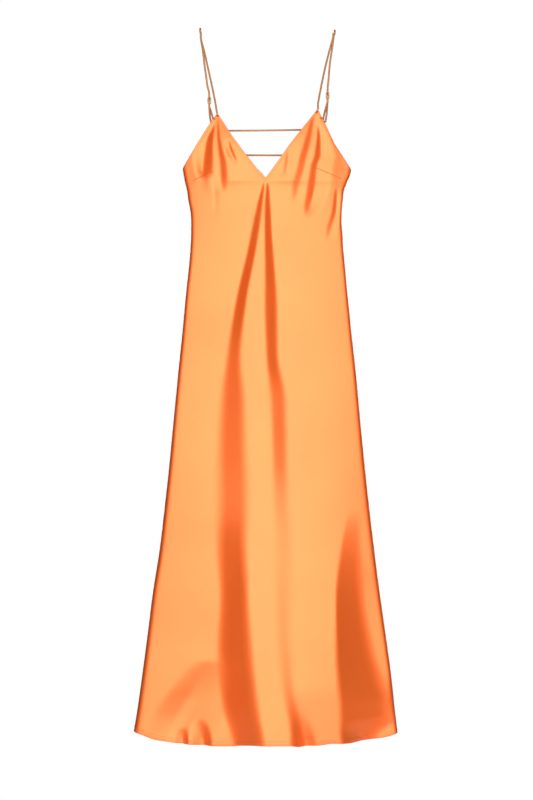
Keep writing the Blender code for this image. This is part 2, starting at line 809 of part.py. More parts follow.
def slider(name, centre):
    """Flat figure-8 slider with three cross bars."""
    build = bmesh.new()
    half_width = 0.5 * SLIDER_WIDTH
    half_height = 0.5 * SLIDER_HEIGHT
    half_bar = 0.5 * SLIDER_BAR
    xs = (-half_width, -half_width + SLIDER_BAR, half_width - SLIDER_BAR, half_width)
    heights = (
        -half_height,
        -half_height + SLIDER_BAR,
        -half_bar,
        half_bar,
        half_height - SLIDER_BAR,
        half_height,
    )
    slots = ((1, 1), (1, 3))
    sheets = []
    for depth in (-half_bar, half_bar):
        sheets.append([
            [build.verts.new(centre + Vector((x, depth, height))) for height in heights]
            for x in xs
        ])
    filled = set()
    for column in range(len(xs) - 1):
        for row in range(len(heights) - 1):
            if (column, row) not in slots:
                filled.add((column, row))
    for column, row in filled:
        corners = (
            (column, row),
            (column + 1, row),
            (column + 1, row + 1),
            (column, row + 1),
        )
        for sheet in sheets:
            build.faces.new([sheet[x][height] for x, height in corners])
        neighbours = ((column, row - 1), (column + 1, row), (column, row + 1), (column - 1, row))
        for side, neighbour in enumerate(neighbours):
            if neighbour in filled:
                continue
            first = corners[side]
            second = corners[(side + 1) % 4]
            build.faces.new((
                sheets[0][first[0]][first[1]],
                sheets[0][second[0]][second[1]],
                sheets[1][second[0]][second[1]],
                sheets[1][first[0]][first[1]],
            ))
    return add_object(name, close_mesh(name, build), METAL, 1.0, 0.35)


def ring(name, centre):
    """Round wire ring that stands edge-on to the front."""
    build = bmesh.new()
    loops = []
    for step in range(RING_STEPS):
        angle = 2.0 * math.pi * step / RING_STEPS
        way = Vector((0.0, math.cos(angle), math.sin(angle)))
        loop = []
        for side in range(RING_SIDES):
            turn = 2.0 * math.pi * side / RING_SIDES
            reach = RING_RADIUS + RING_WIRE_RADIUS * math.cos(turn)
            off = Vector((RING_WIRE_RADIUS * math.sin(turn), 0.0, 0.0))
            loop.append(build.verts.new(Vector(centre) + way * reach + off))
        loops.append(loop)
    for step in range(RING_STEPS):
        following = loops[(step + 1) % RING_STEPS]
        for side in range(RING_SIDES):
            nearby = (side + 1) % RING_SIDES
            build.faces.new((
                loops[step][side],
                loops[step][nearby],
                following[nearby],
                following[side],
            ))
    return add_object(name, close_mesh(name, build), METAL, 1.0, 0.35)


def ring_loop(name, ring_centre, foot_height):
    """Rouleau loop through the bottom of a ring, down to the back panel's corner."""
    y_way = Vector((0.0, 1.0, 0.0))
    centre = Vector(ring_centre)
    turn_radius = RING_WIRE_RADIUS + SEAM_GAP + LOOP_RADIUS + 0.0001
    turn_height = centre.z - RING_RADIUS
    foot = foot_height + SEAM_GAP
    stations = [round_station(Vector((centre.x - turn_radius, centre.y, foot)), y_way, LOOP_RADIUS)]
    for step in range(LOOP_STEPS + 1):
        angle = math.pi * step / LOOP_STEPS
        stations.append(round_station(
            Vector((
                centre.x - turn_radius * math.cos(angle),
                centre.y,
                turn_height + turn_radius * math.sin(angle),
            )),
            y_way,
            LOOP_RADIUS,
        ))
    stations.append(
        round_station(Vector((centre.x + turn_radius, centre.y, foot)), y_way, LOOP_RADIUS)
    )
    return tube(name, stations, STRING_SIDES, SATIN_CORD)


def inner_edge(height, right):
    """x of the open back's edge at a height."""
    highest = max(row[1] for row in BACK_EDGE)
    tips = [index for index, row in enumerate(BACK_EDGE) if row[1] == highest]
    chosen = BACK_EDGE[tips[2]::-1] if right else BACK_EDGE[tips[1]:]
    for (x, upper, _), (next_x, lower, _) in zip(chosen, chosen[1:]):
        if upper >= height >= lower:
            return x + (next_x - x) * (upper - height) / (upper - lower)
    return chosen[-1][0]


def back_string(name, left_height, right_height, sag):
    """Rouleau string between the two edges of the open back."""
    left_x = inner_edge(left_height, False)
    right_x = inner_edge(right_height, True)
    left = back_surface(left_height, across(left_height, left_x))
    right = back_surface(right_height, across(right_height, right_x))
    half_wall = Vector((0.0, 0.5 * WALL, 0.0))
    start = left - half_wall + Vector((2.0 * SEAM_GAP, 0.0, 0.0))
    end = right - half_wall - Vector((2.0 * SEAM_GAP, 0.0, 0.0))
    stations = []
    for step in range(STRING_STEPS + 1):
        part = step / STRING_STEPS
        centre = start + part * (end - start)
        centre.z -= sag * 4.0 * part * (1.0 - part)
        stations.append(round_station(centre, Vector((0.0, 1.0, 0.0)), STRING_RADIUS))
    return tube(name, stations, STRING_SIDES, SATIN_CORD)


def cup_point(left_index):
    """Middle of the wall at a cup's point, where a strap is sewn on."""
    first = FRONT_EDGE[left_index]
    second = FRONT_EDGE[left_index + 1]
    x = 0.5 * (first[0] + second[0])
    height = first[1]
    point = front_surface(height, across(height, x))
    return point + Vector((0.0, 0.5 * WALL, 2.0 * SEAM_GAP))


def build_dress():
    clear_objects()
    front = panel_grid(
        front_surface, FRONT_EDGE, FRONT_HEM, FRONT_LEVEL, FRONT_TOP_ROWS, FRONT_BODY_ROWS
    )
    cloth_wall("front_panel", front, -1.0)
    back = panel_grid(
        back_surface, BACK_EDGE, BACK_HEM, BACK_LEVEL, BACK_TOP_ROWS, BACK_BODY_ROWS
    )
    cloth_wall("back_panel", back, 1.0)
    sides = (
        ("left", STRAP_TOP_LEFT, LEFT_RUNS, RING_CENTRE_LEFT, SLIDER_HEIGHT_LEFT, 4),
        ("right", STRAP_TOP_RIGHT, RIGHT_RUNS, RING_CENTRE_RIGHT, SLIDER_HEIGHT_RIGHT, 13),
    )
    for side, top, runs, ring_centre, slider_height, cup in sides:
        stations, slider_centre = strap_stations(
            top, runs, ring_centre, slider_height, cup_point(cup)
        )
        tube("strap_" + side, stations, STRAP_SIDES, SATIN_CORD)
        slider("slider_" + side, slider_centre)
        ring("ring_" + side, ring_centre)
        ring_loop("ring_loop_" + side, ring_centre, max(row[1] for row in BACK_EDGE))
    back_string("back_string_upper", *STRING_UPPER)
    back_string("back_string_lower", *STRING_LOWER)


build_dress()
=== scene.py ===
# %% [markdown]
# # A satin slip dress, hung from its straps
# This lesson dresses a imported CAD model of a long bias-cut dress. The dress hangs
# empty from its two shoulder straps, so every fold falls from the point of the V and
# from the cups. We first load the fixed frame from model.glb. The finished cloth has
# to stay in the space that the solids hold.

# %% Load the frame
import math

import bmesh
import bpy
import numpy as np
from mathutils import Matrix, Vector


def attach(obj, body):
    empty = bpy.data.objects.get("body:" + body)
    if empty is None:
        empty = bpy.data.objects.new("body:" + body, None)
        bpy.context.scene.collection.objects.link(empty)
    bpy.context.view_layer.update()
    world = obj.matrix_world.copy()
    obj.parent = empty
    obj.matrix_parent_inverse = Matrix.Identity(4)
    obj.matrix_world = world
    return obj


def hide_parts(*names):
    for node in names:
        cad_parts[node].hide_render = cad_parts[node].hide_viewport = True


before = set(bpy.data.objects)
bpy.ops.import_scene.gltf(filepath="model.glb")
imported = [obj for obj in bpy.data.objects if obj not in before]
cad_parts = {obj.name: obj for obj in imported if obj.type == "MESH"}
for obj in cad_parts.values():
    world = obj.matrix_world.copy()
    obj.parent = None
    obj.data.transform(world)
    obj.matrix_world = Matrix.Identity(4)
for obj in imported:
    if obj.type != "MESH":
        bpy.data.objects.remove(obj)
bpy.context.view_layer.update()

# %% [markdown]
# ## The camera
# The photograph is a long-lens view, square on to the front and level with the
# middle of the dress. A 100 mm lens at 4.5 m gives the same flat perspective. The
# camera comes first, because every later size was read from this view.

# %% Place the camera
camera_data = bpy.data.cameras.new("studio_camera")
camera_data.lens = 100.2
camera_data.sensor_width = 36.0
camera = bpy.data.objects.new("studio_camera", camera_data)
camera.location = (-0.0018, -4.5, -0.7504)
camera.rotation_euler = (math.radians(90.0), 0.0, 0.0)
bpy.context.scene.collection.objects.link(camera)
bpy.context.scene.camera = camera
print("camera at", tuple(round(v, 3) for v in camera.location))

# %% [markdown]
# ## Reading a size table
# A dressmaker grades a pattern from a few measured levels. We do the same: each
# table below has a height in its first column, and a smooth curve runs through the
# rest. The curve never overshoots a measured value, so a straight seam stays straight.

# %% A curve through one column of a table
def follow(table, place, column):
    rows = np.array(table, float)
    rows = rows[np.argsort(rows[:, 0])]
    known = rows[:, 0]
    values = rows[:, column]
    steps = np.diff(values) / np.diff(known)
    slopes = np.concatenate((steps[:1], np.zeros(len(steps) - 1), steps[-1:]))
    same_way = steps[:-1] * steps[1:] > 0.0
    total = np.where(same_way, steps[:-1] + steps[1:], 1.0)
    slopes[1:-1] = np.where(same_way, 2.0 * steps[:-1] * steps[1:] / total, 0.0)
    place = np.clip(place, known[0], known[-1])
    index = np.clip(np.searchsorted(known, place, side="right") - 1, 0, len(known) - 2)
    span = known[index + 1] - known[index]
    part = (place - known[index]) / span
    rise = part * part * (3.0 - 2.0 * part)
    result = values[index] * (1.0 - rise) + values[index + 1] * rise
    result = result + span * slopes[index] * (part ** 3 - 2.0 * part ** 2 + part)
    return result + span * slopes[index + 1] * (part ** 3 - part ** 2)


# %% [markdown]
# ## The outline of the dress
# The side seams give the outline from the front: close under the arms, narrowest at
# the waist, then a long even flare. The depths give the outline from the side. The
# empty dress keeps a flattened round section, deeper towards the hem.

# %% Side seams and depths
# Columns: height, left seam, right seam.
SIDES = (
    (-0.28, -0.1711, 0.1702), (-0.286, -0.1709, 0.1697), (-0.292, -0.1701, 0.1692),
    (-0.3, -0.1687, 0.1669), (-0.308, -0.1671, 0.1634), (-0.316, -0.1653, 0.1601),
    (-0.324, -0.1633, 0.157), (-0.332, -0.1618, 0.1547), (-0.342, -0.1605, 0.1536),
    (-0.353, -0.1589, 0.1524), (-0.367, -0.1559, 0.1511), (-0.39, -0.1541, 0.1507),
    (-0.415, -0.1541, 0.1523), (-0.447, -0.1557, 0.1543), (-0.488, -0.1592, 0.1581),
    (-0.528, -0.1637, 0.1618), (-0.609, -0.1713, 0.1699), (-0.69, -0.1796, 0.179),
    (-0.811, -0.1914, 0.1903), (-0.892, -0.1992, 0.1984), (-0.973, -0.2082, 0.2073),
    (-1.053, -0.2177, 0.2168), (-1.134, -0.2306, 0.2269), (-1.215, -0.2409, 0.2382),
    (-1.296, -0.2515, 0.249), (-1.377, -0.2629, 0.2578), (-1.417, -0.2694, 0.2624),
    (-1.449, -0.2739, 0.2658),
)
# Columns: height, half depth, share of it at the left seam, share at the right seam.
FRONT_DEPTHS = (
    (-0.17, 0.043, 0.5, 0.5), (-0.28, 0.0431, 0.53, 0.53), (-0.296, 0.0436, 0.54, 0.54),
    (-0.312, 0.0444, 0.55, 0.55), (-0.33, 0.0458, 0.56, 0.56), (-0.35, 0.0474, 0.58, 0.58),
    (-0.382, 0.0496, 0.6, 0.6), (-0.45, 0.0515, 0.62, 0.62), (-0.55, 0.0545, 0.64, 0.62),
    (-0.65, 0.0585, 0.65, 0.63), (-0.75, 0.064, 0.66, 0.64), (-0.95, 0.076, 0.66, 0.64),
    (-1.148, 0.088, 0.62, 0.66), (-1.437, 0.102, 0.56, 0.66),
)
BACK_DEPTHS = (
    (-0.17, 0.031, 0.5, 0.5), (-0.229, 0.035, 0.5, 0.5), (-0.294, 0.038, 0.5, 0.5),
    (-0.45, 0.044, 0.5, 0.5), (-0.55, 0.052, 0.5, 0.5), (-0.75, 0.068, 0.48, 0.48),
    (-0.95, 0.08, 0.46, 0.46), (-1.148, 0.09, 0.44, 0.44), (-1.437, 0.1, 0.42, 0.42),
)
SIDE_SHARPNESS = 90.0


def across(height, x):
    left = follow(SIDES, height, 1)
    right = follow(SIDES, height, 2)
    return (2.0 * x - left - right) / (right - left)


def between_sides(height, place):
    left = follow(SIDES, height, 1)
    right = follow(SIDES, height, 2)
    return 0.5 * (left + right) + 0.5 * place * (right - left)


print("hem width", round(float(SIDES[-1][2] - SIDES[-1][1]), 3), "m")

# %% [markdown]
# ## The folds
# Satin hung on the bias doesn't pleat evenly. The middle of the skirt stands forward
# in one long ridge. Its left flank and its right flank fall back towards the sides,
# and low on the right the cloth drops to a shelf beside the side seam. Those three
# are ramps. The cups have narrow gathers, which are troughs with a sharp bottom and
# soft rims. Each row of a table gives the fold's place at one height, so no two folds
# have the same length, width or depth.

# %% Ramps that shape the skirt
# Columns: height, x where the ramp starts, x where it ends, share of the depth lost.
LEFT_FLANK = (
    (-0.311, -0.0092, -0.0052, 0.0), (-0.322, -0.0116, -0.0052, 0.06),
    (-0.35, -0.0196, -0.0076, 0.13), (-0.386, -0.0288, -0.0108, 0.18),
    (-0.45, -0.0418, -0.0208, 0.24), (-0.554, -0.0658, -0.0398, 0.3),
    (-0.659, -0.0847, -0.0487, 0.21), (-0.75, -0.1006, -0.0367, 0.3),
    (-0.85, -0.1085, -0.0306, 0.29), (-0.959, -0.1103, -0.0246, 0.26),
    (-1.044, -0.1082, -0.0325, 0.35), (-1.147, -0.1, -0.0315, 0.43),
    (-1.246, -0.1059, -0.0226, 0.5), (-1.344, -0.0958, -0.0127, 0.52),
    (-1.434, -0.0739, 0.0012, 0.54),
)
RIGHT_FLANK = (
    (-0.311, -0.0032, 0.0012, 0.0), (-0.322, -0.0036, 0.0044, 0.07),
    (-0.364, -0.0068, 0.0078, 0.18), (-0.416, -0.0076, 0.0108, 0.24),
    (-0.486, -0.0078, 0.0172, 0.28), (-0.554, -0.0098, 0.0232, 0.3),
    (-0.659, -0.0068, 0.0251, 0.24), (-0.754, -0.0028, 0.045, 0.2),
    (-0.864, 0.0012, 0.0469, 0.155), (-0.949, 0.0012, 0.0509, 0.1),
    (-1.048, 0.0051, 0.0587, 0.07), (-1.206, 0.0051, 0.0685, 0.065),
    (-1.314, 0.015, 0.0803, 0.07), (-1.373, 0.0308, 0.0862, 0.11),
    (-1.434, 0.0387, 0.0921, 0.16),
)
SHELF = (
    (-0.971, 0.1611, 0.1898, 0.0), (-1.05, 0.1447, 0.1936, 0.17),
    (-1.149, 0.1344, 0.2014, 0.47), (-1.249, 0.1342, 0.2237, 0.66),
    (-1.321, 0.1371, 0.2537, 0.76), (-1.357, 0.14, 0.2719, 0.8),
    (-1.387, 0.141, 0.2719, 0.82), (-1.41, 0.1419, 0.2416, 0.82),
    (-1.438, 0.1479, 0.2125, 0.82),
)


def ramp(part, soft_start, soft_end):
    """Rise from 0 to 1, straight in the middle and rounded at each end."""
    part = np.clip(part, 0.0, 1.0)
    steep = 1.0 / (1.0 - 0.5 * (soft_start + soft_end))
    low = np.minimum(part, soft_start) ** 2 / (2.0 * soft_start)
    middle = np.clip(part - soft_start, 0.0, 1.0 - soft_start - soft_end)
    high = 0.5 * soft_end - np.minimum(1.0 - part, soft_end) ** 2 / (2.0 * soft_end)
    return steep * (low + middle + high)


def ramp_share(table, height, x, soft_start, soft_end):
    start = follow(table, height, 1)
    end = follow(table, height, 2)
    return ramp((x - start) / (end - start), soft_start, soft_end)


print("ramp half way:", round(float(ramp(0.5, 0.35, 0.35)), 3))

# %% Troughs of the cups and the hem
# Columns: height, x of the bottom, width to the left, width to the right, depth.
FRONT_TROUGHS = (
    (   # deep gather of the left cup, down to the tip of its dart
        (-0.189, -0.1063, 0.006, 0.004, 0.0), (-0.199, -0.1087, 0.01, 0.0056, 0.001),
        (-0.209, -0.1127, 0.016, 0.008, 0.0032), (-0.225, -0.12, 0.0241, 0.0132, 0.0064),
        (-0.239, -0.1232, 0.0281, 0.0152, 0.0084), (-0.251, -0.1248, 0.0281, 0.0169, 0.0094),
        (-0.263, -0.1268, 0.0261, 0.0201, 0.0098), (-0.277, -0.1284, 0.0221, 0.0229, 0.0092),
        (-0.289, -0.1292, 0.0181, 0.0245, 0.0076), (-0.299, -0.1292, 0.0161, 0.0261, 0.0042),
        (-0.307, -0.1288, 0.0161, 0.0281, 0.0016), (-0.325, -0.1281, 0.0201, 0.0301, 0.0005),
        (-0.349, -0.1273, 0.0241, 0.0321, 0.0),
    ),
    (   # second gather of the left cup
        (-0.185, -0.1019, 0.008, 0.0044, 0.0), (-0.201, -0.1011, 0.012, 0.0048, 0.0012),
        (-0.219, -0.1006, 0.018, 0.0056, 0.0018), (-0.237, -0.0994, 0.024, 0.0076, 0.0025),
        (-0.256, -0.0974, 0.028, 0.0112, 0.0035), (-0.28, -0.0949, 0.03, 0.0156, 0.0046),
        (-0.304, -0.0937, 0.03, 0.0164, 0.0044), (-0.322, -0.0921, 0.028, 0.0128, 0.0022),
        (-0.334, -0.091, 0.026, 0.012, 0.0),
    ),
    (   # short third gather
        (-0.228, -0.0789, 0.012, 0.006, 0.0), (-0.242, -0.0773, 0.012, 0.0072, 0.0022),
        (-0.254, -0.0737, 0.012, 0.0084, 0.003), (-0.268, -0.068, 0.012, 0.0092, 0.0022),
        (-0.282, -0.0628, 0.014, 0.0092, 0.0),
    ),
    (   # slack below the left dart
        (-0.298, -0.1058, 0.004, 0.01, 0.0), (-0.329, -0.1059, 0.006, 0.012, 0.0007),
        (-0.359, -0.1055, 0.006, 0.012, 0.0005), (-0.389, -0.1051, 0.006, 0.012, 0.0),
    ),
    (   # gather of the right cup nearer the neck
        (-0.177, 0.0945, 0.004, 0.012, 0.0), (-0.193, 0.0927, 0.008, 0.0201, 0.0022),
        (-0.219, 0.089, 0.0132, 0.0281, 0.0038), (-0.244, 0.0841, 0.0168, 0.034, 0.0052),
        (-0.268, 0.0783, 0.0192, 0.036, 0.0058), (-0.292, 0.0734, 0.02, 0.036, 0.0056),
        (-0.316, 0.0657, 0.0188, 0.036, 0.0044), (-0.338, 0.0607, 0.0152, 0.032, 0.0026),
        (-0.362, 0.0545, 0.014, 0.03, 0.0),
    ),
    (   # gather of the right cup over the tip of its dart
        (-0.197, 0.1035, 0.006, 0.012, 0.0), (-0.223, 0.1067, 0.0088, 0.0201, 0.0042),
        (-0.243, 0.1071, 0.012, 0.0281, 0.0062), (-0.259, 0.107, 0.0152, 0.0341, 0.0072),
        (-0.28, 0.1006, 0.0164, 0.0361, 0.0078), (-0.316, 0.0966, 0.0192, 0.0361, 0.0078),
        (-0.343, 0.0914, 0.018, 0.0321, 0.006), (-0.368, 0.085, 0.014, 0.0281, 0.003),
        (-0.384, 0.0822, 0.012, 0.0241, 0.0),
    ),
    (   # short gather inside the right cup
        (-0.248, 0.0364, 0.014, 0.006, 0.0), (-0.268, 0.0348, 0.016, 0.0068, 0.0018),
        (-0.293, 0.0316, 0.016, 0.0068, 0.0016), (-0.306, 0.0304, 0.014, 0.006, 0.0),
    ),
    (   # slack below the right dart
        (-0.324, 0.1408, 0.006, 0.0101, 0.0), (-0.342, 0.1399, 0.0076, 0.0121, 0.0022),
        (-0.372, 0.1379, 0.0093, 0.0161, 0.003), (-0.401, 0.1291, 0.0101, 0.0161, 0.002),
        (-0.431, 0.1218, 0.01, 0.0161, 0.0),
    ),
    (   # slanting fold near the left of the hem
        (-1.274, -0.1218, 0.0357, 0.0992, 0.0), (-1.298, -0.1317, 0.0476, 0.1111, 0.0044),
        (-1.324, -0.1417, 0.0575, 0.119, 0.0086), (-1.354, -0.1576, 0.0655, 0.1231, 0.0118),
        (-1.386, -0.1736, 0.0695, 0.1192, 0.0126), (-1.416, -0.1856, 0.0676, 0.1073, 0.011),
        (-1.438, -0.1936, 0.0636, 0.0954, 0.009),
    ),
    (   # soft hollow right of the middle, down to the hem
        (-1.068, 0.0329, 0.0238, 0.0238, 0.0), (-1.147, 0.0388, 0.0297, 0.0297, 0.0008),
        (-1.245, 0.0447, 0.0297, 0.0297, 0.0015), (-1.314, 0.0506, 0.0297, 0.0277, 0.002),
        (-1.363, 0.0585, 0.0277, 0.0277, 0.0024), (-1.383, 0.0644, 0.0237, 0.0237, 0.0036),
        (-1.411, 0.0723, 0.0257, 0.0217, 0.0084), (-1.434, 0.0763, 0.0296, 0.0237, 0.014),
    ),
    (   # curl of the hem, left
        (-1.392, -0.1375, 0.0119, 0.0159, 0.0), (-1.408, -0.1335, 0.0238, 0.0178, 0.0046),
        (-1.424, -0.1295, 0.0317, 0.0178, 0.0095), (-1.435, -0.1275, 0.0356, 0.0178, 0.013),
    ),
    (   # small curl beside it
        (-1.41, -0.1715, 0.0119, 0.0099, 0.0), (-1.425, -0.1695, 0.0198, 0.0119, 0.005),
        (-1.437, -0.1695, 0.0218, 0.0139, 0.0075),
    ),
    (   # small curl on the shelf
        (-1.403, 0.1862, 0.0119, 0.0119, 0.0), (-1.428, 0.1861, 0.0139, 0.0139, 0.0024),
    ),
)
BACK_TROUGHS = (
    (   # under the left corner of the open back
        (-0.38, -0.076, 0.012, 0.012, 0.0), (-0.48, -0.082, 0.019, 0.022, 0.006),
        (-0.7, -0.09, 0.032, 0.032, 0.011), (-1.0, -0.102, 0.042, 0.042, 0.018),
        (-1.44, -0.12, 0.052, 0.05, 0.026),
    ),
    (   # under the lowest point of the open back
        (-0.44, 0.006, 0.013, 0.013, 0.0), (-0.56, 0.008, 0.022, 0.022, 0.007),
        (-0.8, 0.014, 0.034, 0.03, 0.011), (-1.1, 0.022, 0.044, 0.042, 0.02),
        (-1.44, 0.03, 0.05, 0.05, 0.028),
    ),
    (   # under the right corner of the open back
        (-0.38, 0.08, 0.012, 0.012, 0.0), (-0.52, 0.09, 0.022, 0.02, 0.006),
        (-0.76, 0.105, 0.032, 0.03, 0.01), (-1.06, 0.13, 0.04, 0.036, 0.016),
        (-1.44, 0.156, 0.048, 0.042, 0.022),
    ),
)


def sink(troughs, height, x, soft_rim, soft_bottom):
    total = np.zeros(np.broadcast(height, x).shape)
    for table in troughs:
        bottom = follow(table, height, 1)
        width = np.where(x < bottom, follow(table, height, 2), follow(table, height, 3))
        part = 1.0 - np.abs(x - bottom) / width
        total = total + follow(table, height, 4) * ramp(part, soft_rim, soft_bottom)
    return total


print(len(FRONT_TROUGHS), "troughs in front,", len(BACK_TROUGHS), "behind")

# %% [markdown]
# ## Two surfaces
# A point of the front is found from its height and its x: the rounded section gives
# the depth, the ramps take a share of it away, the cups add some fullness, and the
# troughs sink in last. The back is made in the same way. Everything sewn on later,
# such as an edge band or a stitch, asks these two functions where the cloth is.

# %% Front and back as functions
# How much of a ramp is rounded: at its start and its end, or at a rim and the bottom.
FLANK_ROUNDING = (0.35, 0.35)
SHELF_ROUNDING = (0.10, 0.40)
FRONT_TROUGH_ROUNDING = (0.35, 0.20)
BACK_TROUGH_ROUNDING = (0.45, 0.40)
# Columns: x, height, half width, half height, forward.
CUPS = ((-0.079, -0.260, 0.085, 0.105, 0.009), (0.076, -0.256, 0.085, 0.105, 0.009))


def half_section(height, x, depths):
    place = np.clip(across(height, x), -1.0, 1.0)
    side = np.where(place < 0.0, follow(depths, height, 2), follow(depths, height, 3))
    wall = np.sqrt(1.0 - np.abs(place) ** SIDE_SHARPNESS)
    crown = 1.0 - place * place
    return wall, follow(depths, height, 1) * (side * wall + (1.0 - side) * crown)


def front_y(height, x):
    wall, depth = half_section(height, x, FRONT_DEPTHS)
    left = 1.0 - ramp_share(LEFT_FLANK, height, x, *FLANK_ROUNDING)
    depth = depth * (1.0 - follow(LEFT_FLANK, height, 3) * left)
    for table, rounding in ((RIGHT_FLANK, FLANK_ROUNDING), (SHELF, SHELF_ROUNDING)):
        lost = follow(table, height, 3) * ramp_share(table, height, x, *rounding)
        depth = depth * (1.0 - lost)
    for middle_x, middle_height, half_width, half_height, forward in CUPS:
        off_x = np.clip(np.abs(x - middle_x) / half_width, 0.0, 1.0)
        off_height = np.clip(np.abs(height - middle_height) / half_height, 0.0, 1.0)
        swell = np.cos(0.5 * np.pi * off_x) * np.cos(0.5 * np.pi * off_height)
        depth = depth + forward * swell * swell * wall
    return -np.maximum(depth - sink(FRONT_TROUGHS, height, x, *FRONT_TROUGH_ROUNDING), 0.0)


def back_y(height, x):
    depth = half_section(height, x, BACK_DEPTHS)[1]
    return np.maximum(depth - sink(BACK_TROUGHS, height, x, *BACK_TROUGH_ROUNDING), 0.0)


for level in (-0.25, -0.45, -0.95, -1.40):
    print("front at", level, "stands", round(-1000.0 * float(front_y(level, 0.0)), 1), "mm out")

# %% [markdown]
# ## The cut edges
# The front has a deep V between two cup points and slopes down to the underarm on
# each side. The back is open: two narrow arms of cloth run up to the rings, and the edge
# swings down between them to the small of the back. Each row gives a corner of the
# edge and how many cells of cloth lie between it and the next one.

# %% Edges and hems
# Columns: x, height, cells to the next row.
FRONT_EDGE = (
    (-0.1713, -0.2855, 6), (-0.1598, -0.2672, 2), (-0.1408, -0.2351, 3), (-0.1212, -0.2044, 3),
    (-0.103, -0.179, 1), (-0.098, -0.179, 4), (-0.0709, -0.2217, 4), (-0.0468, -0.2543, 4),
    (-0.0218, -0.2862, 3), (-0.0038, -0.3056, 3), (0.0172, -0.2778, 3), (0.0452, -0.2382, 3),
    (0.0774, -0.1972, 2), (0.0979, -0.1709, 1), (0.1029, -0.1709, 2), (0.1196, -0.2044, 4),
    (0.1348, -0.2363, 4), (0.1562, -0.2684, 6), (0.1702, -0.289, 0),
)
BACK_EDGE = (
    (-0.1713, -0.2855, 5), (-0.1545, -0.269, 1), (-0.142, -0.248, 1), (-0.13, -0.225, 1),
    (-0.1167, -0.199, 1), (-0.1087, -0.199, 1), (-0.106, -0.24, 1), (-0.1005, -0.285, 1),
    (-0.092, -0.325, 2), (-0.079, -0.36, 2), (-0.06, -0.392, 2), (-0.038, -0.412, 1),
    (-0.018, -0.421, 1), (0.0, -0.423, 2), (0.018, -0.421, 2), (0.038, -0.412, 1),
    (0.06, -0.392, 2), (0.08, -0.36, 2), (0.094, -0.325, 2), (0.104, -0.285, 1),
    (0.109, -0.24, 1), (0.112, -0.199, 1), (0.12, -0.199, 1), (0.129, -0.225, 1),
    (0.1385, -0.248, 1), (0.153, -0.27, 5), (0.1702, -0.289, 0),
)
# Columns: x, height.
FRONT_HEM = (
    (-0.2703, -1.4174), (-0.2595, -1.4204), (-0.2476, -1.4242), (-0.2356, -1.4289),
    (-0.2237, -1.4327), (-0.2078, -1.4354), (-0.1739, -1.4399), (-0.1341, -1.4428),
    (-0.0943, -1.4432), (-0.0705, -1.4428), (-0.0545, -1.4407), (-0.0346, -1.4373),
    (-0.0147, -1.4348), (0.045, -1.4343), (0.0649, -1.4383), (0.0848, -1.4372),
    (0.1086, -1.4354), (0.1266, -1.433), (0.1484, -1.4336), (0.1683, -1.4353),
    (0.1882, -1.4345), (0.2241, -1.4318), (0.242, -1.4287), (0.2626, -1.422),
)
BACK_HEM = (
    (-0.2703, -1.4174), (-0.18, -1.4235), (-0.05, -1.427), (0.09, -1.427),
    (0.19, -1.424), (0.2626, -1.422),
)


def edge_columns(edge, finer):
    """Place between the seams and height of the top edge, for every column of cloth."""
    places = []
    tops = []
    for (x, height, cells), (next_x, next_height, _) in zip(edge, edge[1:]):
        start = math.asin(float(np.clip(across(height, x), -1.0, 1.0)))
        end = math.asin(float(np.clip(across(next_height, next_x), -1.0, 1.0)))
        angles = start + (end - start) * np.arange(cells * finer) / (cells * finer)
        part = (np.sin(angles) - math.sin(start)) / (math.sin(end) - math.sin(start))
        places.extend(np.sin(angles))
        tops.extend(height + part * (next_height - height))
    places = np.array(places + [1.0])
    places[0] = -1.0
    return places, np.array(tops + [edge[-1][1]])


def panel_points(depth_at, edge, hem, level, finer, top_rows, body_rows):
    places, tops = edge_columns(edge, finer)
    bottoms = follow(hem, between_sides(hem[0][1], places), 1)
    upper = np.arange(top_rows)[:, None] / top_rows
    lower = np.arange(body_rows + 1)[:, None] / body_rows
    heights = np.vstack((tops + (level - tops) * upper, level + (bottoms - level) * lower))
    x = between_sides(heights, places[None, :])
    return np.dstack((x, depth_at(heights, x), heights))


# From here down the rows of cloth lie level. Above it they follow the cut edge.
FRONT_LEVEL = -0.352
BACK_LEVEL = -0.452
# Columns of cloth in one cell of the edge table, rows above the level and rows below.
FRONT_GRID = (3, 60, 180)
BACK_GRID = (4, 45, 160)
front_points = panel_points(front_y, FRONT_EDGE, FRONT_HEM, FRONT_LEVEL, *FRONT_GRID)
back_points = panel_points(back_y, BACK_EDGE, BACK_HEM, BACK_LEVEL, *BACK_GRID)
print("front grid", front_points.shape[:2], "back grid", back_points.shape[:2])

# %% [markdown]
# ## Satin: the weave
# Satin is woven so that long threads float over four and pass under one. The floats
# give the shine, and the small steps where they dip give a fine diagonal grain. The
# group works on the cloth's own flat map in metres and turns it by 45 degrees,
# because the dress is cut on the bias. It puts out a height and a tint. The tint is
# painted shade: it darkens the colour by up to a tenth where each float dips under.

# %% Shader group: satin weave
def new_group(name, kind, inputs, outputs):
    """A shader or geometry node group with named inputs and outputs."""
    group = bpy.data.node_groups.new(name, kind)
    for label, socket_kind, value in inputs:
        socket = group.interface.new_socket(label, in_out="INPUT", socket_type=socket_kind)
        if value is not None:
            socket.default_value = value
    for label, socket_kind in outputs:
        group.interface.new_socket(label, in_out="OUTPUT", socket_type=socket_kind)
    return group, group.nodes.new("NodeGroupInput"), group.nodes.new("NodeGroupOutput")


def link_all(tree, pairs):
    for start, end in pairs:
        tree.links.new(start, end)


def set_values(node, values):
    for label, value in values.items():
        node.inputs[label].default_value = value


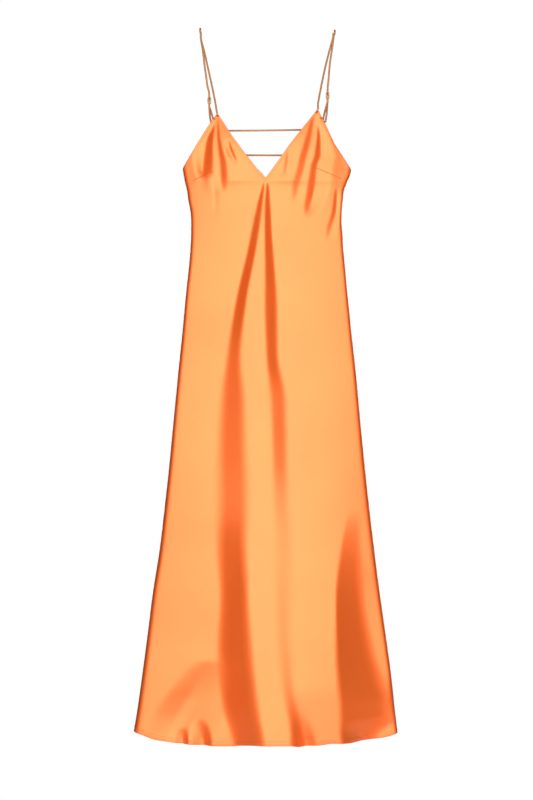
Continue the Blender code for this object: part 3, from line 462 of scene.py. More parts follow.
def turned_place(group, given):
    """X and Y of the flat map, turned to run along the threads."""
    turned = group.nodes.new("ShaderNodeVectorRotate")
    turned.rotation_type = "Z_AXIS"
    parts = group.nodes.new("ShaderNodeSeparateXYZ")
    link_all(group, (
        (given.outputs["Place"], turned.inputs["Vector"]),
        (given.outputs["Turn"], turned.inputs["Angle"]),
        (turned.outputs["Vector"], parts.inputs["Vector"]),
    ))
    return parts.outputs["X"], parts.outputs["Y"]


def calculate(group, operation, first, second=None, third=None):
    """One Math node. Numbers go to the socket, and sockets are linked."""
    node = group.nodes.new("ShaderNodeMath")
    node.operation = operation
    for index, value in enumerate((first, second, third)):
        if value is None:
            continue
        if isinstance(value, (int, float)):
            node.inputs[index].default_value = value
        else:
            group.links.new(value, node.inputs[index])
    return node.outputs[0]


THREADS = 4200.0
BIAS = 0.785
weave_group, given, made = new_group(
    "satin_weave", "ShaderNodeTree",
    (("Place", "NodeSocketVector", None), ("Threads a metre", "NodeSocketFloat", THREADS),
     ("Turn", "NodeSocketFloat", BIAS)),
    (("Height", "NodeSocketFloat"), ("Tint", "NodeSocketFloat")),
)
place_x, place_y = turned_place(weave_group, given)
warp = calculate(weave_group, "MULTIPLY", place_x, given.outputs["Threads a metre"])
weft = calculate(weave_group, "MULTIPLY", place_y, given.outputs["Threads a metre"])
shift = calculate(weave_group, "MULTIPLY", calculate(weave_group, "FLOOR", warp), 0.4)
along_float = calculate(weave_group, "MULTIPLY_ADD", weft, 0.2, shift)
along_float = calculate(weave_group, "FRACT", along_float)
crown = calculate(weave_group, "SINE", calculate(weave_group, "MULTIPLY", along_float, math.pi))
crown = calculate(weave_group, "POWER", calculate(weave_group, "ABSOLUTE", crown), 0.35)
side = calculate(weave_group, "FRACT", warp)
side = calculate(weave_group, "SINE", calculate(weave_group, "MULTIPLY", side, math.pi))
# The tint darkens the colour where a float dips under: painted shade in the dips.
link_all(weave_group, (
    (calculate(weave_group, "MULTIPLY", crown, side), made.inputs["Height"]),
    (calculate(weave_group, "MULTIPLY_ADD", crown, 0.10, 0.90), made.inputs["Tint"]),
))
print("satin_weave has", len(weave_group.nodes), "nodes")

# %% [markdown]
# ## Satin: an uneven cloth
# No length of satin shines evenly. Yarns vary a little in thickness, so faint streaks
# run along the thread, and handling leaves broad soft patches. This second group
# mixes both from noise on the same map, and every cloth finish and the thread use it.

# %% Shader group: uneven shine
uneven_group, given, made = new_group(
    "uneven_shine", "ShaderNodeTree",
    (("Place", "NodeSocketVector", None), ("Patch size", "NodeSocketFloat", 9.0),
     ("Streaks a metre", "NodeSocketFloat", 900.0), ("Turn", "NodeSocketFloat", BIAS)),
    (("Patches", "NodeSocketFloat"), ("Streaks", "NodeSocketFloat")),
)
patches = uneven_group.nodes.new("ShaderNodeTexNoise")
set_values(patches, {"Detail": 2.0})
streaks = uneven_group.nodes.new("ShaderNodeTexNoise")
set_values(streaks, {"Scale": 1.0, "Detail": 1.0})
joined = uneven_group.nodes.new("ShaderNodeCombineXYZ")
place_x, place_y = turned_place(uneven_group, given)
fine = calculate(uneven_group, "MULTIPLY", place_x, given.outputs["Streaks a metre"])
slow = calculate(uneven_group, "MULTIPLY", place_y, 22.0)
link_all(uneven_group, (
    (given.outputs["Place"], patches.inputs["Vector"]),
    (given.outputs["Patch size"], patches.inputs["Scale"]),
    (patches.outputs["Fac"], made.inputs["Patches"]),
    (fine, joined.inputs["X"]),
    (slow, joined.inputs["Y"]),
    (joined.outputs["Vector"], streaks.inputs["Vector"]),
    (streaks.outputs["Fac"], made.inputs["Streaks"]),
))
print("uneven_shine has", len(uneven_group.nodes), "nodes")

# %% [markdown]
# ## The finishes
# Three finishes come from the same bolt: the glossy face, the duller reverse that
# shows inside the open back and the hem, and the narrow cords. The cords are the same
# satin made much darker, which is painted shade. Half of the face's shine is tinted
# orange and half is plain, which is how filament satin looks, so the shader mixes
# metallic and ordinary reflection and adds a soft clear coat. Each material keeps its
# own Principled shader and its own constants.

# %% Cloth materials
def between(tree, low, high, factor):
    """A number that runs from low to high with a 0 to 1 factor."""
    node = tree.nodes.new("ShaderNodeMapRange")
    set_values(node, {"From Min": 0.3, "From Max": 0.7, "To Min": low, "To Max": high})
    tree.links.new(factor, node.inputs["Value"])
    return node.outputs["Result"]


def cloth_material(name, colour, deep_colour, shine, map_name, threads, relief):
    """Cloth from both groups. shine is its metallic, roughness and coat weight."""
    metallic, roughness, coat = shine
    material = bpy.data.materials.new(name)
    material.use_nodes = True
    material.diffuse_color = colour
    tree = material.node_tree
    shader = tree.nodes["Principled BSDF"]
    place = tree.nodes.new("ShaderNodeTexCoord")
    weave = tree.nodes.new("ShaderNodeGroup")
    weave.node_tree = weave_group
    weave.inputs["Threads a metre"].default_value = threads
    uneven = tree.nodes.new("ShaderNodeGroup")
    uneven.node_tree = uneven_group
    tone = tree.nodes.new("ShaderNodeMix")
    tone.data_type = "RGBA"
    set_values(tone, {"A": deep_colour, "B": colour})
    shade = tree.nodes.new("ShaderNodeVectorMath")
    shade.operation = "SCALE"
    bump = tree.nodes.new("ShaderNodeBump")
    set_values(bump, {"Strength": relief, "Distance": 0.00003})
    rough = between(tree, roughness - 0.02, roughness + 0.02, uneven.outputs["Patches"])
    # The weave's tint scales the colour down where floats dip: painted shade.
    link_all(tree, (
        (place.outputs[map_name], weave.inputs["Place"]),
        (place.outputs[map_name], uneven.inputs["Place"]),
        (between(tree, 0.55, 1.0, uneven.outputs["Streaks"]), tone.inputs["Factor"]),
        (tone.outputs["Result"], shade.inputs[0]),
        (weave.outputs["Tint"], shade.inputs["Scale"]),
        (shade.outputs["Vector"], shader.inputs["Base Color"]),
        (rough, shader.inputs["Roughness"]),
        (weave.outputs["Height"], bump.inputs["Height"]),
        (bump.outputs["Normal"], shader.inputs["Normal"]),
    ))
    set_values(shader, {
        "Metallic": metallic, "Coat Weight": coat, "Coat Roughness": 0.45, "Coat IOR": 1.6,
        "Sheen Weight": 0.02, "Sheen Roughness": 0.5, "Sheen Tint": (1.0, 0.62, 0.35, 1.0),
    })
    return material


satin_face = cloth_material(
    "satin_face", (0.95, 0.150, 0.012, 1.0), (0.93, 0.134, 0.009, 1.0), (0.50, 0.42, 0.40),
    "UV", THREADS, 0.25,
)
satin_reverse = cloth_material(
    "satin_reverse", (0.86, 0.20, 0.050, 1.0), (0.80, 0.165, 0.037, 1.0), (0.10, 0.62, 0.10),
    "UV", THREADS, 0.45,
)
# Cords and straps: the face satin darkened to well under half its brightness, painted shade.
satin_cord = cloth_material(
    "satin_cord", (0.42, 0.165, 0.042, 1.0), (0.34, 0.125, 0.030, 1.0), (0.30, 0.50, 0.15),
    "Object", 900.0, 0.0,
)
thread_finish = cloth_material(
    "sewing_thread", (0.88, 0.26, 0.075, 1.0), (0.80, 0.20, 0.05, 1.0), (0.10, 0.50, 0.20),
    "Object", 6000.0, 0.05,
)
print("made", len(bpy.data.materials), "materials so far")

# %% [markdown]
# ## Antique metal
# The rings and sliders are small and darkened. Noise on Object coordinates spreads the
# tarnish: it mixes a dark and a brighter brown, and the brighter metal is smoother.

# %% Metal material
metal = bpy.data.materials.new("antique_metal")
metal.use_nodes = True
tree = metal.node_tree
shader = tree.nodes["Principled BSDF"]
place = tree.nodes.new("ShaderNodeTexCoord")
tarnish = tree.nodes.new("ShaderNodeTexNoise")
set_values(tarnish, {"Scale": 420.0, "Detail": 3.0})
tone = tree.nodes.new("ShaderNodeMix")
tone.data_type = "RGBA"
set_values(tone, {"A": (0.10, 0.045, 0.014, 1.0), "B": (0.30, 0.150, 0.050, 1.0)})
link_all(tree, (
    (place.outputs["Object"], tarnish.inputs["Vector"]),
    (between(tree, 0.0, 1.0, tarnish.outputs["Fac"]), tone.inputs["Factor"]),
    (tone.outputs["Result"], shader.inputs["Base Color"]),
    (between(tree, 0.42, 0.26, tarnish.outputs["Fac"]), shader.inputs["Roughness"]),
))
shader.inputs["Metallic"].default_value = 1.0
print("antique metal ready")

# %% [markdown]
# ## Sewing the panels
# Each panel becomes one sheet of quads, with a flat map measured along the cloth in
# metres. A Solidify modifier gives it a real thickness of half a millimetre, laid
# inwards, and gives the inside its own duller finish. It is applied at once, so that
# the mesh itself is the finished cloth.

# %% Grid to cloth
def flat_map(points):
    """Distance along each row from the middle column, and down each column."""
    rows = np.linalg.norm(np.diff(points, axis=1), axis=2)
    u = np.concatenate((np.zeros((len(points), 1)), np.cumsum(rows, axis=1)), axis=1)
    u = u - u[:, [points.shape[1] // 2]]
    columns = np.linalg.norm(np.diff(points, axis=0), axis=2)
    v = np.concatenate((np.zeros((1, points.shape[1])), np.cumsum(columns, axis=0)), axis=0)
    return np.dstack((u, points[0, :, 2][None, :] - v))


def add_piece(name, mesh, *materials):
    for material in materials:
        mesh.materials.append(material)
    piece = bpy.data.objects.new(name, mesh)
    bpy.context.scene.collection.objects.link(piece)
    return piece


def grid_mesh(name, points, facing):
    """Quads over a grid of points. facing is -1 where the cloth looks to -Y."""
    rows, columns = points.shape[:2]
    index = np.arange(rows * columns).reshape(rows, columns)
    corners = (index[:-1, :-1], index[1:, :-1], index[1:, 1:], index[:-1, 1:])
    if facing > 0.0:
        corners = corners[::-1]
    quads = np.stack(corners, axis=-1).reshape(-1, 4)
    mesh = bpy.data.meshes.new(name)
    mesh.from_pydata(points.reshape(-1, 3).tolist(), [], quads.tolist())
    layer = mesh.uv_layers.new(name="UVMap")
    flat = flat_map(points).reshape(-1, 2)
    order = np.array([loop.vertex_index for loop in mesh.loops])
    layer.data.foreach_set("uv", flat[order].ravel())
    mesh.shade_smooth()
    return mesh


def apply_modifiers(piece):
    """Bake the piece's modifiers into its mesh."""
    graph = bpy.context.evaluated_depsgraph_get()
    baked = bpy.data.meshes.new_from_object(
        piece.evaluated_get(graph), preserve_all_data_layers=True, depsgraph=graph
    )
    piece.modifiers.clear()
    piece.data = baked
    baked.name = piece.name
    return piece


CLOTH_THICKNESS = 0.0005


def sew_panel(name, points, facing):
    piece = add_piece(name, grid_mesh(name, points, facing), satin_face, satin_reverse)
    wall = piece.modifiers.new("cloth_thickness", "SOLIDIFY")
    wall.thickness = CLOTH_THICKNESS
    wall.offset = -1.0
    wall.material_offset = 1
    wall.material_offset_rim = 0
    return apply_modifiers(piece)


front = sew_panel("front_cloth", front_points, -1.0)
back = sew_panel("back_cloth", back_points, 1.0)

# %% [markdown]
# ## Laying trim on the cloth
# A band, a dart or a line of stitches is drawn as a path on the front or back, as
# pairs of x and height. At each point of the path we need the cloth itself, the way
# out of it, and the way across the path. Trim is then a small profile carried along
# the path: each profile point says how far across the cloth and how far out it lies.

# %% Path tools
def on_cloth(depth_at, path):
    path = np.asarray(path, float)
    return np.column_stack((path[:, 0], depth_at(path[:, 1], path[:, 0]), path[:, 1]))


FACING = {front_y: -1.0, back_y: 1.0}
SLOPE_STEP = 0.0012
STEEPEST = 6.0


def way_out(depth_at, path):
    """Unit vectors out of the cloth, from the slope of the surface."""
    step = SLOPE_STEP
    x = path[:, 0]
    height = path[:, 1]
    by_x = (depth_at(height, x + step) - depth_at(height, x - step)) / (2.0 * step)
    by_height = (depth_at(height + step, x) - depth_at(height - step, x)) / (2.0 * step)
    by_x = np.clip(by_x, -STEEPEST, STEEPEST)
    normal = np.column_stack((-by_x, np.ones(len(path)), -by_height)) * FACING[depth_at]
    return normal / np.linalg.norm(normal, axis=1)[:, None]


def way_across(path):
    """Unit vectors to the left of the path, in x and height, mitred at its corners."""
    steps = np.diff(path, axis=0)
    steps = steps / np.linalg.norm(steps, axis=1)[:, None]
    before = np.vstack((steps[:1], steps))
    after = np.vstack((steps, steps[-1:]))
    left_before = np.column_stack((-before[:, 1], before[:, 0]))
    left_after = np.column_stack((-after[:, 1], after[:, 0]))
    middle = left_before + left_after
    middle = middle / np.linalg.norm(middle, axis=1)[:, None]
    stretch = 1.0 / np.maximum(0.5, (middle * left_before).sum(axis=1))
    return middle * stretch[:, None]


def skin(build, rows, close_rows, close_points):
    """Quads between neighbouring rows of points. Either way may close on itself."""
    for i in range(len(rows) if close_rows else len(rows) - 1):
        row = rows[i]
        following = rows[(i + 1) % len(rows)]
        for j in range(len(row) if close_points else len(row) - 1):
            near = (j + 1) % len(row)
            build.faces.new((row[j], row[near], following[near], following[j]))


def smooth_mesh(build, name):
    """Turn the faces outward and make a mesh of what was built."""
    bmesh.ops.recalc_face_normals(build, faces=build.faces)
    mesh = bpy.data.meshes.new(name)
    build.to_mesh(mesh)
    build.free()
    mesh.shade_smooth()
    return mesh


def trim_on(name, depth_at, path, profile):
    """Carry a closed profile of (across, out) pairs along a path on the cloth."""
    path = np.asarray(path, float)
    across_way = way_across(path)
    build = bmesh.new()
    verts = []
    for sideways, outwards in profile:
        moved = path + across_way * sideways
        row = on_cloth(depth_at, moved) + way_out(depth_at, moved) * outwards
        verts.append([build.verts.new(point) for point in row])
    skin(build, verts, True, False)
    build.faces.new([row[0] for row in verts])
    build.faces.new([row[-1] for row in verts])
    mesh = smooth_mesh(build, name)
    layer = mesh.uv_layers.new(name="UVMap")
    places = [(mesh.vertices[loop.vertex_index].co.x, mesh.vertices[loop.vertex_index].co.z)
              for loop in mesh.loops]
    layer.data.foreach_set("uv", [value for pair in places for value in pair])
    return add_piece(name, mesh, satin_face)


def top_path(edge, first, last, depth_grid):
    """The top edge of a panel between two rows of its table, as x and height."""
    cells = [row[2] for row in edge]
    finer = (depth_grid.shape[1] - 1) // sum(cells)
    start = sum(cells[:first]) * finer
    end = sum(cells[:last]) * finer
    return depth_grid[0, start:end + 1][:, (0, 2)]


print("the neck runs over", len(top_path(FRONT_EDGE, 5, 13, front_points)), "points")

# %% [markdown]
# ## Turned edges
# Every cut edge of a slip dress is turned in and stitched, so it is a little thicker
# than the cloth and has a rounded lip. The profile goes down the outside, round the
# edge, and up the inside. The path runs so that the cloth lies to one side of it,
# which is why the sideways amounts carry a sign.

# %% Bands along the neck, the armholes, the open back and the hem
def band_profile(width, sign):
    out = 0.00030
    inside = -0.00085
    lip = -0.00035 * sign
    return (
        (width * sign, 0.00002),
        ((width - 0.0002) * sign, out),
        ((width - 0.0008) * sign, out),
        (0.0005 * sign, out),
        (0.0, 0.7 * out),
        (lip, 0.5 * (out + inside)),
        (0.0, inside),
        ((width - 0.0006) * sign, inside),
        (width * sign, -0.00052),
    )


neck_path = top_path(FRONT_EDGE, 5, 13, front_points)
left_arm_path = top_path(FRONT_EDGE, 0, 4, front_points)
right_arm_path = top_path(FRONT_EDGE, 14, 18, front_points)
open_back_path = top_path(BACK_EDGE, 5, 21, back_points)
left_back_path = top_path(BACK_EDGE, 0, 4, back_points)
right_back_path = top_path(BACK_EDGE, 22, 26, back_points)
front_hem_path = front_points[-1][:, (0, 2)]
back_hem_path = back_points[-1][:, (0, 2)]

EDGE_BAND = 0.0045
HEM_BAND = 0.0090
# Columns: name, surface, path, width, side of the path that the cloth lies on.
BANDS = (
    ("neck_band", front_y, neck_path, EDGE_BAND, -1.0),
    ("left_armhole_band", front_y, left_arm_path[2:-2], EDGE_BAND, -1.0),
    ("right_armhole_band", front_y, right_arm_path[2:-2], EDGE_BAND, -1.0),
    ("open_back_band", back_y, open_back_path, EDGE_BAND, -1.0),
    ("left_back_band", back_y, left_back_path[2:], EDGE_BAND, -1.0),
    ("right_back_band", back_y, right_back_path[:-2], EDGE_BAND, -1.0),
    ("front_hem_band", front_y, front_hem_path[2:-2], HEM_BAND, 1.0),
    ("back_hem_band", back_y, back_hem_path[2:-2], HEM_BAND, 1.0),
)
bands = [trim_on(name, depth_at, path, band_profile(width, sign))
         for name, depth_at, path, width, sign in BANDS]
print(len(bands), "turned edges")

# %% [markdown]
# ## The bust darts
# Each cup is shaped by one dart that runs in from the side seam to a tip under the
# fullest part. From outside a dart is only a fine line where one layer folds over the
# other, so it is a small lip with its lower side steep and its upper side flat.

# %% Darts
DART_POINTS = 24
DART_PROFILE = (
    (0.0016, 0.00002), (0.0006, 0.00030), (0.0, 0.00042), (-0.0003, 0.00030),
    (-0.00035, -0.00030), (0.0016, -0.00030),
)


def dart(name, start, end):
    part = np.linspace(0.0, 1.0, DART_POINTS)[:, None]
    path = np.array(start) + part * (np.array(end) - np.array(start))
    return trim_on(name, front_y, path, DART_PROFILE)


darts = [
    dart("left_dart", (-0.1490, -0.3100), (-0.1085, -0.2935)),
    dart("right_dart", (0.0985, -0.2860), (0.1465, -0.3060)),
]
print(len(darts), "darts")

# %% [markdown]
# ## Stitches with Geometry Nodes
# A line of topstitching repeats one small thread hundreds of times, so it is a job
# for Geometry Nodes. The tree turns a path into evenly spaced points, puts a short
# thread on each, turned along the path, and makes the copies real, because the
# export can't keep instances. Its named inputs are the stitch's own sizes.

# %% The stitch tree
STITCH = {"Pitch": 0.0030, "Stitch length": 0.0021, "Thread radius": 0.00018}
stitch_tree, given, made = new_group(
    "topstitch", "GeometryNodeTree",
    [("Path", "NodeSocketGeometry", None)]
    + [(label, "NodeSocketFloat", value) for label, value in STITCH.items()]
    + [("Finish", "NodeSocketMaterial", None)],
    [("Stitches", "NodeSocketGeometry")],
)
nodes = stitch_tree.nodes
line = nodes.new("GeometryNodeMeshToCurve")
spots = nodes.new("GeometryNodeCurveToPoints")
spots.mode = "LENGTH"
knot = nodes.new("GeometryNodeMeshUVSphere")
set_values(knot, {"Segments": 6, "Rings": 5, "Radius": 1.0})
half = calculate(stitch_tree, "MULTIPLY", given.outputs["Stitch length"], 0.5)
size = nodes.new("ShaderNodeCombineXYZ")
copies = nodes.new("GeometryNodeInstanceOnPoints")
real = nodes.new("GeometryNodeRealizeInstances")
finish = nodes.new("GeometryNodeSetMaterial")
link_all(stitch_tree, (
    (given.outputs["Thread radius"], size.inputs["X"]),
    (given.outputs["Thread radius"], size.inputs["Y"]),
    (half, size.inputs["Z"]),
    (given.outputs["Path"], line.inputs["Mesh"]),
    (line.outputs["Curve"], spots.inputs["Curve"]),
    (given.outputs["Pitch"], spots.inputs["Length"]),
    (spots.outputs["Points"], copies.inputs["Points"]),
    (spots.outputs["Rotation"], copies.inputs["Rotation"]),
    (knot.outputs["Mesh"], copies.inputs["Instance"]),
    (size.outputs["Vector"], copies.inputs["Scale"]),
    (copies.outputs["Instances"], real.inputs["Geometry"]),
    (real.outputs["Geometry"], finish.inputs["Geometry"]),
    (given.outputs["Finish"], finish.inputs["Material"]),
    (finish.outputs["Geometry"], made.inputs["Stitches"]),
))
print("topstitch tree has", len(nodes), "nodes")

# %% Run the tree along every edge
def path_object(name, lines):
    """A mesh of edges only, one chain for each line of points."""
    points = np.vstack(lines)
    edges = []
    start = 0
    for chain in lines:
        edges.extend((start + i, start + i + 1) for i in range(len(chain) - 1))
        start += len(chain)
    mesh = bpy.data.meshes.new(name)
    mesh.from_pydata(points.tolist(), edges, [])
    return add_piece(name, mesh)


def run_tree(piece, tree, values):
    """Set a tree's inputs by identifier, bake it and leave a plain mesh."""
    identifiers = {item.name: item.identifier for item in tree.interface.items_tree}
    modifier = piece.modifiers.new("maker", "NODES")
    modifier.node_group = tree
    for label, value in values.items():
        modifier[identifiers[label]] = value
    apply_modifiers(piece)
    finish = [material for material in piece.data.materials if material]
    piece.data.materials.clear()
    piece.data.materials.append(finish[0])
    piece.data.polygons.foreach_set("material_index", [0] * len(piece.data.polygons))
    piece.data.shade_smooth()
    return piece


EDGE_STITCH = -0.0036
HEM_STITCH = 0.0080
STITCH_LIFT = 0.00034


def stitch_line(depth_at, path, inwards):
    moved = path + way_across(path) * inwards
    return on_cloth(depth_at, moved) + way_out(depth_at, moved) * STITCH_LIFT


def sew(name, lines):
    return run_tree(path_object(name, lines), stitch_tree, {**STITCH, "Finish": thread_finish})


front_stitches = sew("front_stitches", [
    stitch_line(front_y, neck_path, EDGE_STITCH),
    stitch_line(front_y, left_arm_path[3:-2], EDGE_STITCH),
    stitch_line(front_y, right_arm_path[2:-3], EDGE_STITCH),
    stitch_line(front_y, front_hem_path[3:-3], HEM_STITCH),
])
back_stitches = sew("back_stitches", [
    stitch_line(back_y, open_back_path, EDGE_STITCH),
    stitch_line(back_y, left_back_path[3:], EDGE_STITCH),
    stitch_line(back_y, right_back_path[:-3], EDGE_STITCH),
    stitch_line(back_y, back_hem_path[3:-3], HEM_STITCH),
])
print("stitch faces:", len(front_stitches.data.polygons), "+", len(back_stitches.data.polygons))

# %% [markdown]
# ## The straps
# A rouleau strap is a narrow tube of the same satin. Each one rises from a cup point,
# goes over the hang point, comes down behind through its slider, round the ring, and
# back up to the slider's middle bar, so two runs lie beside each other below the
# slider. Mesh code suits it better than a plain curve, because the tube is pressed
# flat where the slider grips it. A station is a centre, a width direction, and the
# two half sizes of the tube there.

# %% Strap sizes and runs
STRAP_RADIUS = 0.0019
FLAT_HALF_WIDTH = 0.0020
FLAT_HALF_THICKNESS = 0.00075
HANG_RADIUS = 0.0055
RING_RADIUS = 0.0046
RING_WIRE = 0.0008
SLIDER_WIDTH = 0.0074
SLIDER_HEIGHT = 0.0126
SLIDER_BAR = 0.0012
THREAD_OFFSET = 0.00165
TWIST_OFFSET = 0.0027
CLEARANCE = 0.0001
TUBE_SIDES = 14
# Stations in the front run, over the top, in the back run, through the slider, in each
# quarter twist and round the ring.
FRONT_STEPS, HANG_STEPS, BACK_STEPS, GRIP_STEPS, TWIST_STEPS, TURN_STEPS = 30, 17, 25, 17, 10, 15
# Where a strap leaves the cup. Columns: back, up, half width, half thickness.
TIP_STATIONS = (
    (0.0011, -0.0060, 0.0022, 0.0004), (0.0010, -0.0005, 0.0020, 0.0006),
    (0.0004, 0.0025, 0.0018, 0.0012),
)
# Columns: height, x of the front run, x of the back run.
LEFT_RUNS = (
    (-0.02, -0.1345, -0.1345), (-0.039, -0.1297, -0.1312), (-0.053, -0.126, -0.1295),
    (-0.068, -0.1228, -0.1279), (-0.096, -0.1164, -0.124), (-0.124, -0.1104, -0.1203),
    (-0.152, -0.1048, -0.117), (-0.178, -0.1005, -0.115),
)
RIGHT_RUNS = (
    (-0.018, 0.133, 0.1338), (-0.034, 0.1285, 0.1318), (-0.049, 0.1244, 0.1295),
    (-0.064, 0.1206, 0.1273), (-0.085, 0.1155, 0.1252), (-0.108, 0.1106, 0.1236),
    (-0.132, 0.1058, 0.1223), (-0.155, 0.1016, 0.1203),
)
X_WAY = Vector((1.0, 0.0, 0.0))
Y_WAY = Vector((0.0, 1.0, 0.0))


def soft(part):
    part = min(1.0, max(0.0, part))
    return part * part * (3.0 - 2.0 * part)


def round_at(centre, width_way):
    return (centre, width_way, STRAP_RADIUS, STRAP_RADIUS)


def strap_path(top, runs, ring_centre, slider_height, start):
    crown = top[1] - STRAP_RADIUS - HANG_RADIUS
    ring_x, ring_y, ring_height = ring_centre
    stations = [(start + Vector((0.0, back, up)), X_WAY, half_width, half_thickness)
                for back, up, half_width, half_thickness in TIP_STATIONS]

    def back_depth(height):
        part = (crown - height) / (crown - ring_height)
        return HANG_RADIUS + part * (ring_y - HANG_RADIUS)

    low = start.z + 0.005
    for step in range(FRONT_STEPS):
        height = low + (crown - 0.002 - low) * step / (FRONT_STEPS - 1)
        part = (height - start.z) / (crown - start.z)
        depth = start.y + part * (-HANG_RADIUS - start.y)
        stations.append(round_at(Vector((float(follow(runs, height, 1)), depth, height)), X_WAY))
    for step in range(HANG_STEPS):
        angle = math.pi * step / (HANG_STEPS - 1)
        stations.append(round_at(Vector((
            top[0], -HANG_RADIUS * math.cos(angle), crown + HANG_RADIUS * math.sin(angle)
        )), X_WAY))
    bar = 0.5 * (SLIDER_HEIGHT - SLIDER_BAR)
    slider_x = float(follow(runs, slider_height, 2))
    slider_y = back_depth(slider_height)
    stop = slider_height + bar + 0.005
    for step in range(1, BACK_STEPS):
        height = crown + (stop - crown) * step / (BACK_STEPS - 1)
        blend = soft(1.0 - (height - stop) / 0.02)
        x = float(follow(runs, height, 2))
        depth = back_depth(height) + blend * THREAD_OFFSET
        stations.append(round_at(Vector((x + blend * (slider_x - x), depth, height)), X_WAY))
    for step in range(GRIP_STEPS):
        part = step / (GRIP_STEPS - 1)
        height = slider_height + bar * (1.2 - 2.4 * part)
        swing = min(1.0, max(0.0, (slider_height + bar - height) / bar))
        depth = slider_y + THREAD_OFFSET * math.cos(math.pi * swing)
        stations.append((
            Vector((slider_x, depth, height)), X_WAY, FLAT_HALF_WIDTH, FLAT_HALF_THICKNESS
        ))
    below = slider_height - bar - 0.006
    turn_radius = RING_WIRE + STRAP_RADIUS + CLEARANCE
    turn_height = ring_height + RING_RADIUS
    twist = []
    for step in range(TWIST_STEPS):
        part = step / (TWIST_STEPS - 1)
        radius = TWIST_OFFSET + part * (turn_radius - TWIST_OFFSET)
        twist.append((part, 0.5 * math.pi * part, radius))
    for sign, steps in ((-1.0, twist), (1.0, twist[::-1])):
        for part, angle, radius in steps:
            height = below + part * (turn_height + 0.001 - below)
            x = slider_x + part * (ring_x - slider_x) + sign * radius * math.sin(angle)
            depth = slider_y + part * (ring_y - slider_y) + sign * radius * math.cos(angle)
            wide = (X_WAY * math.cos(angle) - Y_WAY * math.sin(angle)) * -sign
            stations.append(round_at(Vector((x, depth, height)), wide))
        if sign < 0.0:
            for step in range(TURN_STEPS):
                angle = math.pi * step / (TURN_STEPS - 1)
                stations.append(round_at(Vector((
                    ring_x - turn_radius * math.cos(angle), ring_y,
                    turn_height - turn_radius * math.sin(angle),
                )), -Y_WAY))
    for share in (-1.15, -0.6, 0.05):
        stations.append((
            Vector((slider_x, slider_y + THREAD_OFFSET, slider_height + share * bar)),
            -X_WAY, FLAT_HALF_WIDTH, FLAT_HALF_THICKNESS,
        ))
    return stations, Vector((slider_x, slider_y, slider_height))


print("strap radius", STRAP_RADIUS * 1000.0, "mm")

# %% Tubes from stations
def station_tube(name, stations):
    build = bmesh.new()
    rings = []
    for index, (centre, width_way, half_width, half_thickness) in enumerate(stations):
        before = stations[max(index - 1, 0)][0]
        after = stations[min(index + 1, len(stations) - 1)][0]
        way = (after - before).normalized()
        wide = (width_way - way * width_way.dot(way)).normalized()
        thick = way.cross(wide)
        wide = wide * half_width
        thick = thick * half_thickness
        angles = [2.0 * math.pi * side / TUBE_SIDES for side in range(TUBE_SIDES)]
        rings.append([
            build.verts.new(centre + wide * math.cos(a) + thick * math.sin(a)) for a in angles
        ])
    skin(build, rings, False, True)
    build.faces.new(rings[0])
    build.faces.new(rings[-1])
    # The strap takes the cord finish, its satin darkened as painted shade.
    return add_piece(name, smooth_mesh(build, name), satin_cord)


def cup_tip(row):
    """Middle of the wall at a cup's point, where a strap is sewn in."""
    x = 0.5 * (FRONT_EDGE[row][0] + FRONT_EDGE[row + 1][0])
    height = FRONT_EDGE[row][1]
    return Vector((x, float(front_y(height, x)) + 0.00025, height))


LEFT_RING = (-0.1127, 0.0285, -0.1872)
RIGHT_RING = (0.1160, 0.0285, -0.1872)
LEFT_TOP = (-0.1357, 0.0018)
RIGHT_TOP = (0.1362, -0.0018)
LEFT_SLIDER = -0.1425
RIGHT_SLIDER = -0.1325
left_stations, left_slider_at = strap_path(
    LEFT_TOP, LEFT_RUNS, LEFT_RING, LEFT_SLIDER, cup_tip(4)
)
right_stations, right_slider_at = strap_path(
    RIGHT_TOP, RIGHT_RUNS, RIGHT_RING, RIGHT_SLIDER, cup_tip(13)
)
left_strap = station_tube("left_strap", left_stations)
right_strap = station_tube("right_strap", right_stations)
print("strap stations:", len(left_stations), len(right_stations))

# %% [markdown]
# ## Strings and loops with Geometry Nodes
# The two strings across the open back and the loops under the rings are plain
# rouleau cords that follow a path, so one small tree makes all four: path to curve,
# a circle carried along it, and closed ends.

# %% The rouleau tree
STRING_RADIUS = 0.0018
LOOP_RADIUS = 0.0012
rouleau_tree, given, made = new_group(
    "rouleau_cord", "GeometryNodeTree",
    (("Path", "NodeSocketGeometry", None), ("Radius", "NodeSocketFloat", STRING_RADIUS),
     ("Finish", "NodeSocketMaterial", None)),
    (("Cord", "NodeSocketGeometry"),),
)
nodes = rouleau_tree.nodes
line = nodes.new("GeometryNodeMeshToCurve")
circle = nodes.new("GeometryNodeCurvePrimitiveCircle")
set_values(circle, {"Resolution": TUBE_SIDES})
tube = nodes.new("GeometryNodeCurveToMesh")
set_values(tube, {"Fill Caps": True})
real = nodes.new("GeometryNodeRealizeInstances")
finish = nodes.new("GeometryNodeSetMaterial")
link_all(rouleau_tree, (
    (given.outputs["Path"], line.inputs["Mesh"]),
    (line.outputs["Curve"], tube.inputs["Curve"]),
    (given.outputs["Radius"], circle.inputs["Radius"]),
    (circle.outputs["Curve"], tube.inputs["Profile Curve"]),
    (tube.outputs["Mesh"], real.inputs["Geometry"]),
    (real.outputs["Geometry"], finish.inputs["Geometry"]),
    (given.outputs["Finish"], finish.inputs["Material"]),
    (finish.outputs["Geometry"], made.inputs["Cord"]),
))
print("rouleau tree has", len(nodes), "nodes")

# %% Strings across the open back, and loops under the rings
def open_edge_x(height, right):
    """x of the open back's edge at a height."""
    path = open_back_path
    lowest = int(np.argmin(path[:, 1]))
    half = path[lowest:] if right else path[:lowest + 1][::-1]
    return float(np.interp(height, half[:, 1], half[:, 0]))


SEWN_IN = 0.0020
STRING_INSIDE = 0.0010
STRING_POINTS = 41


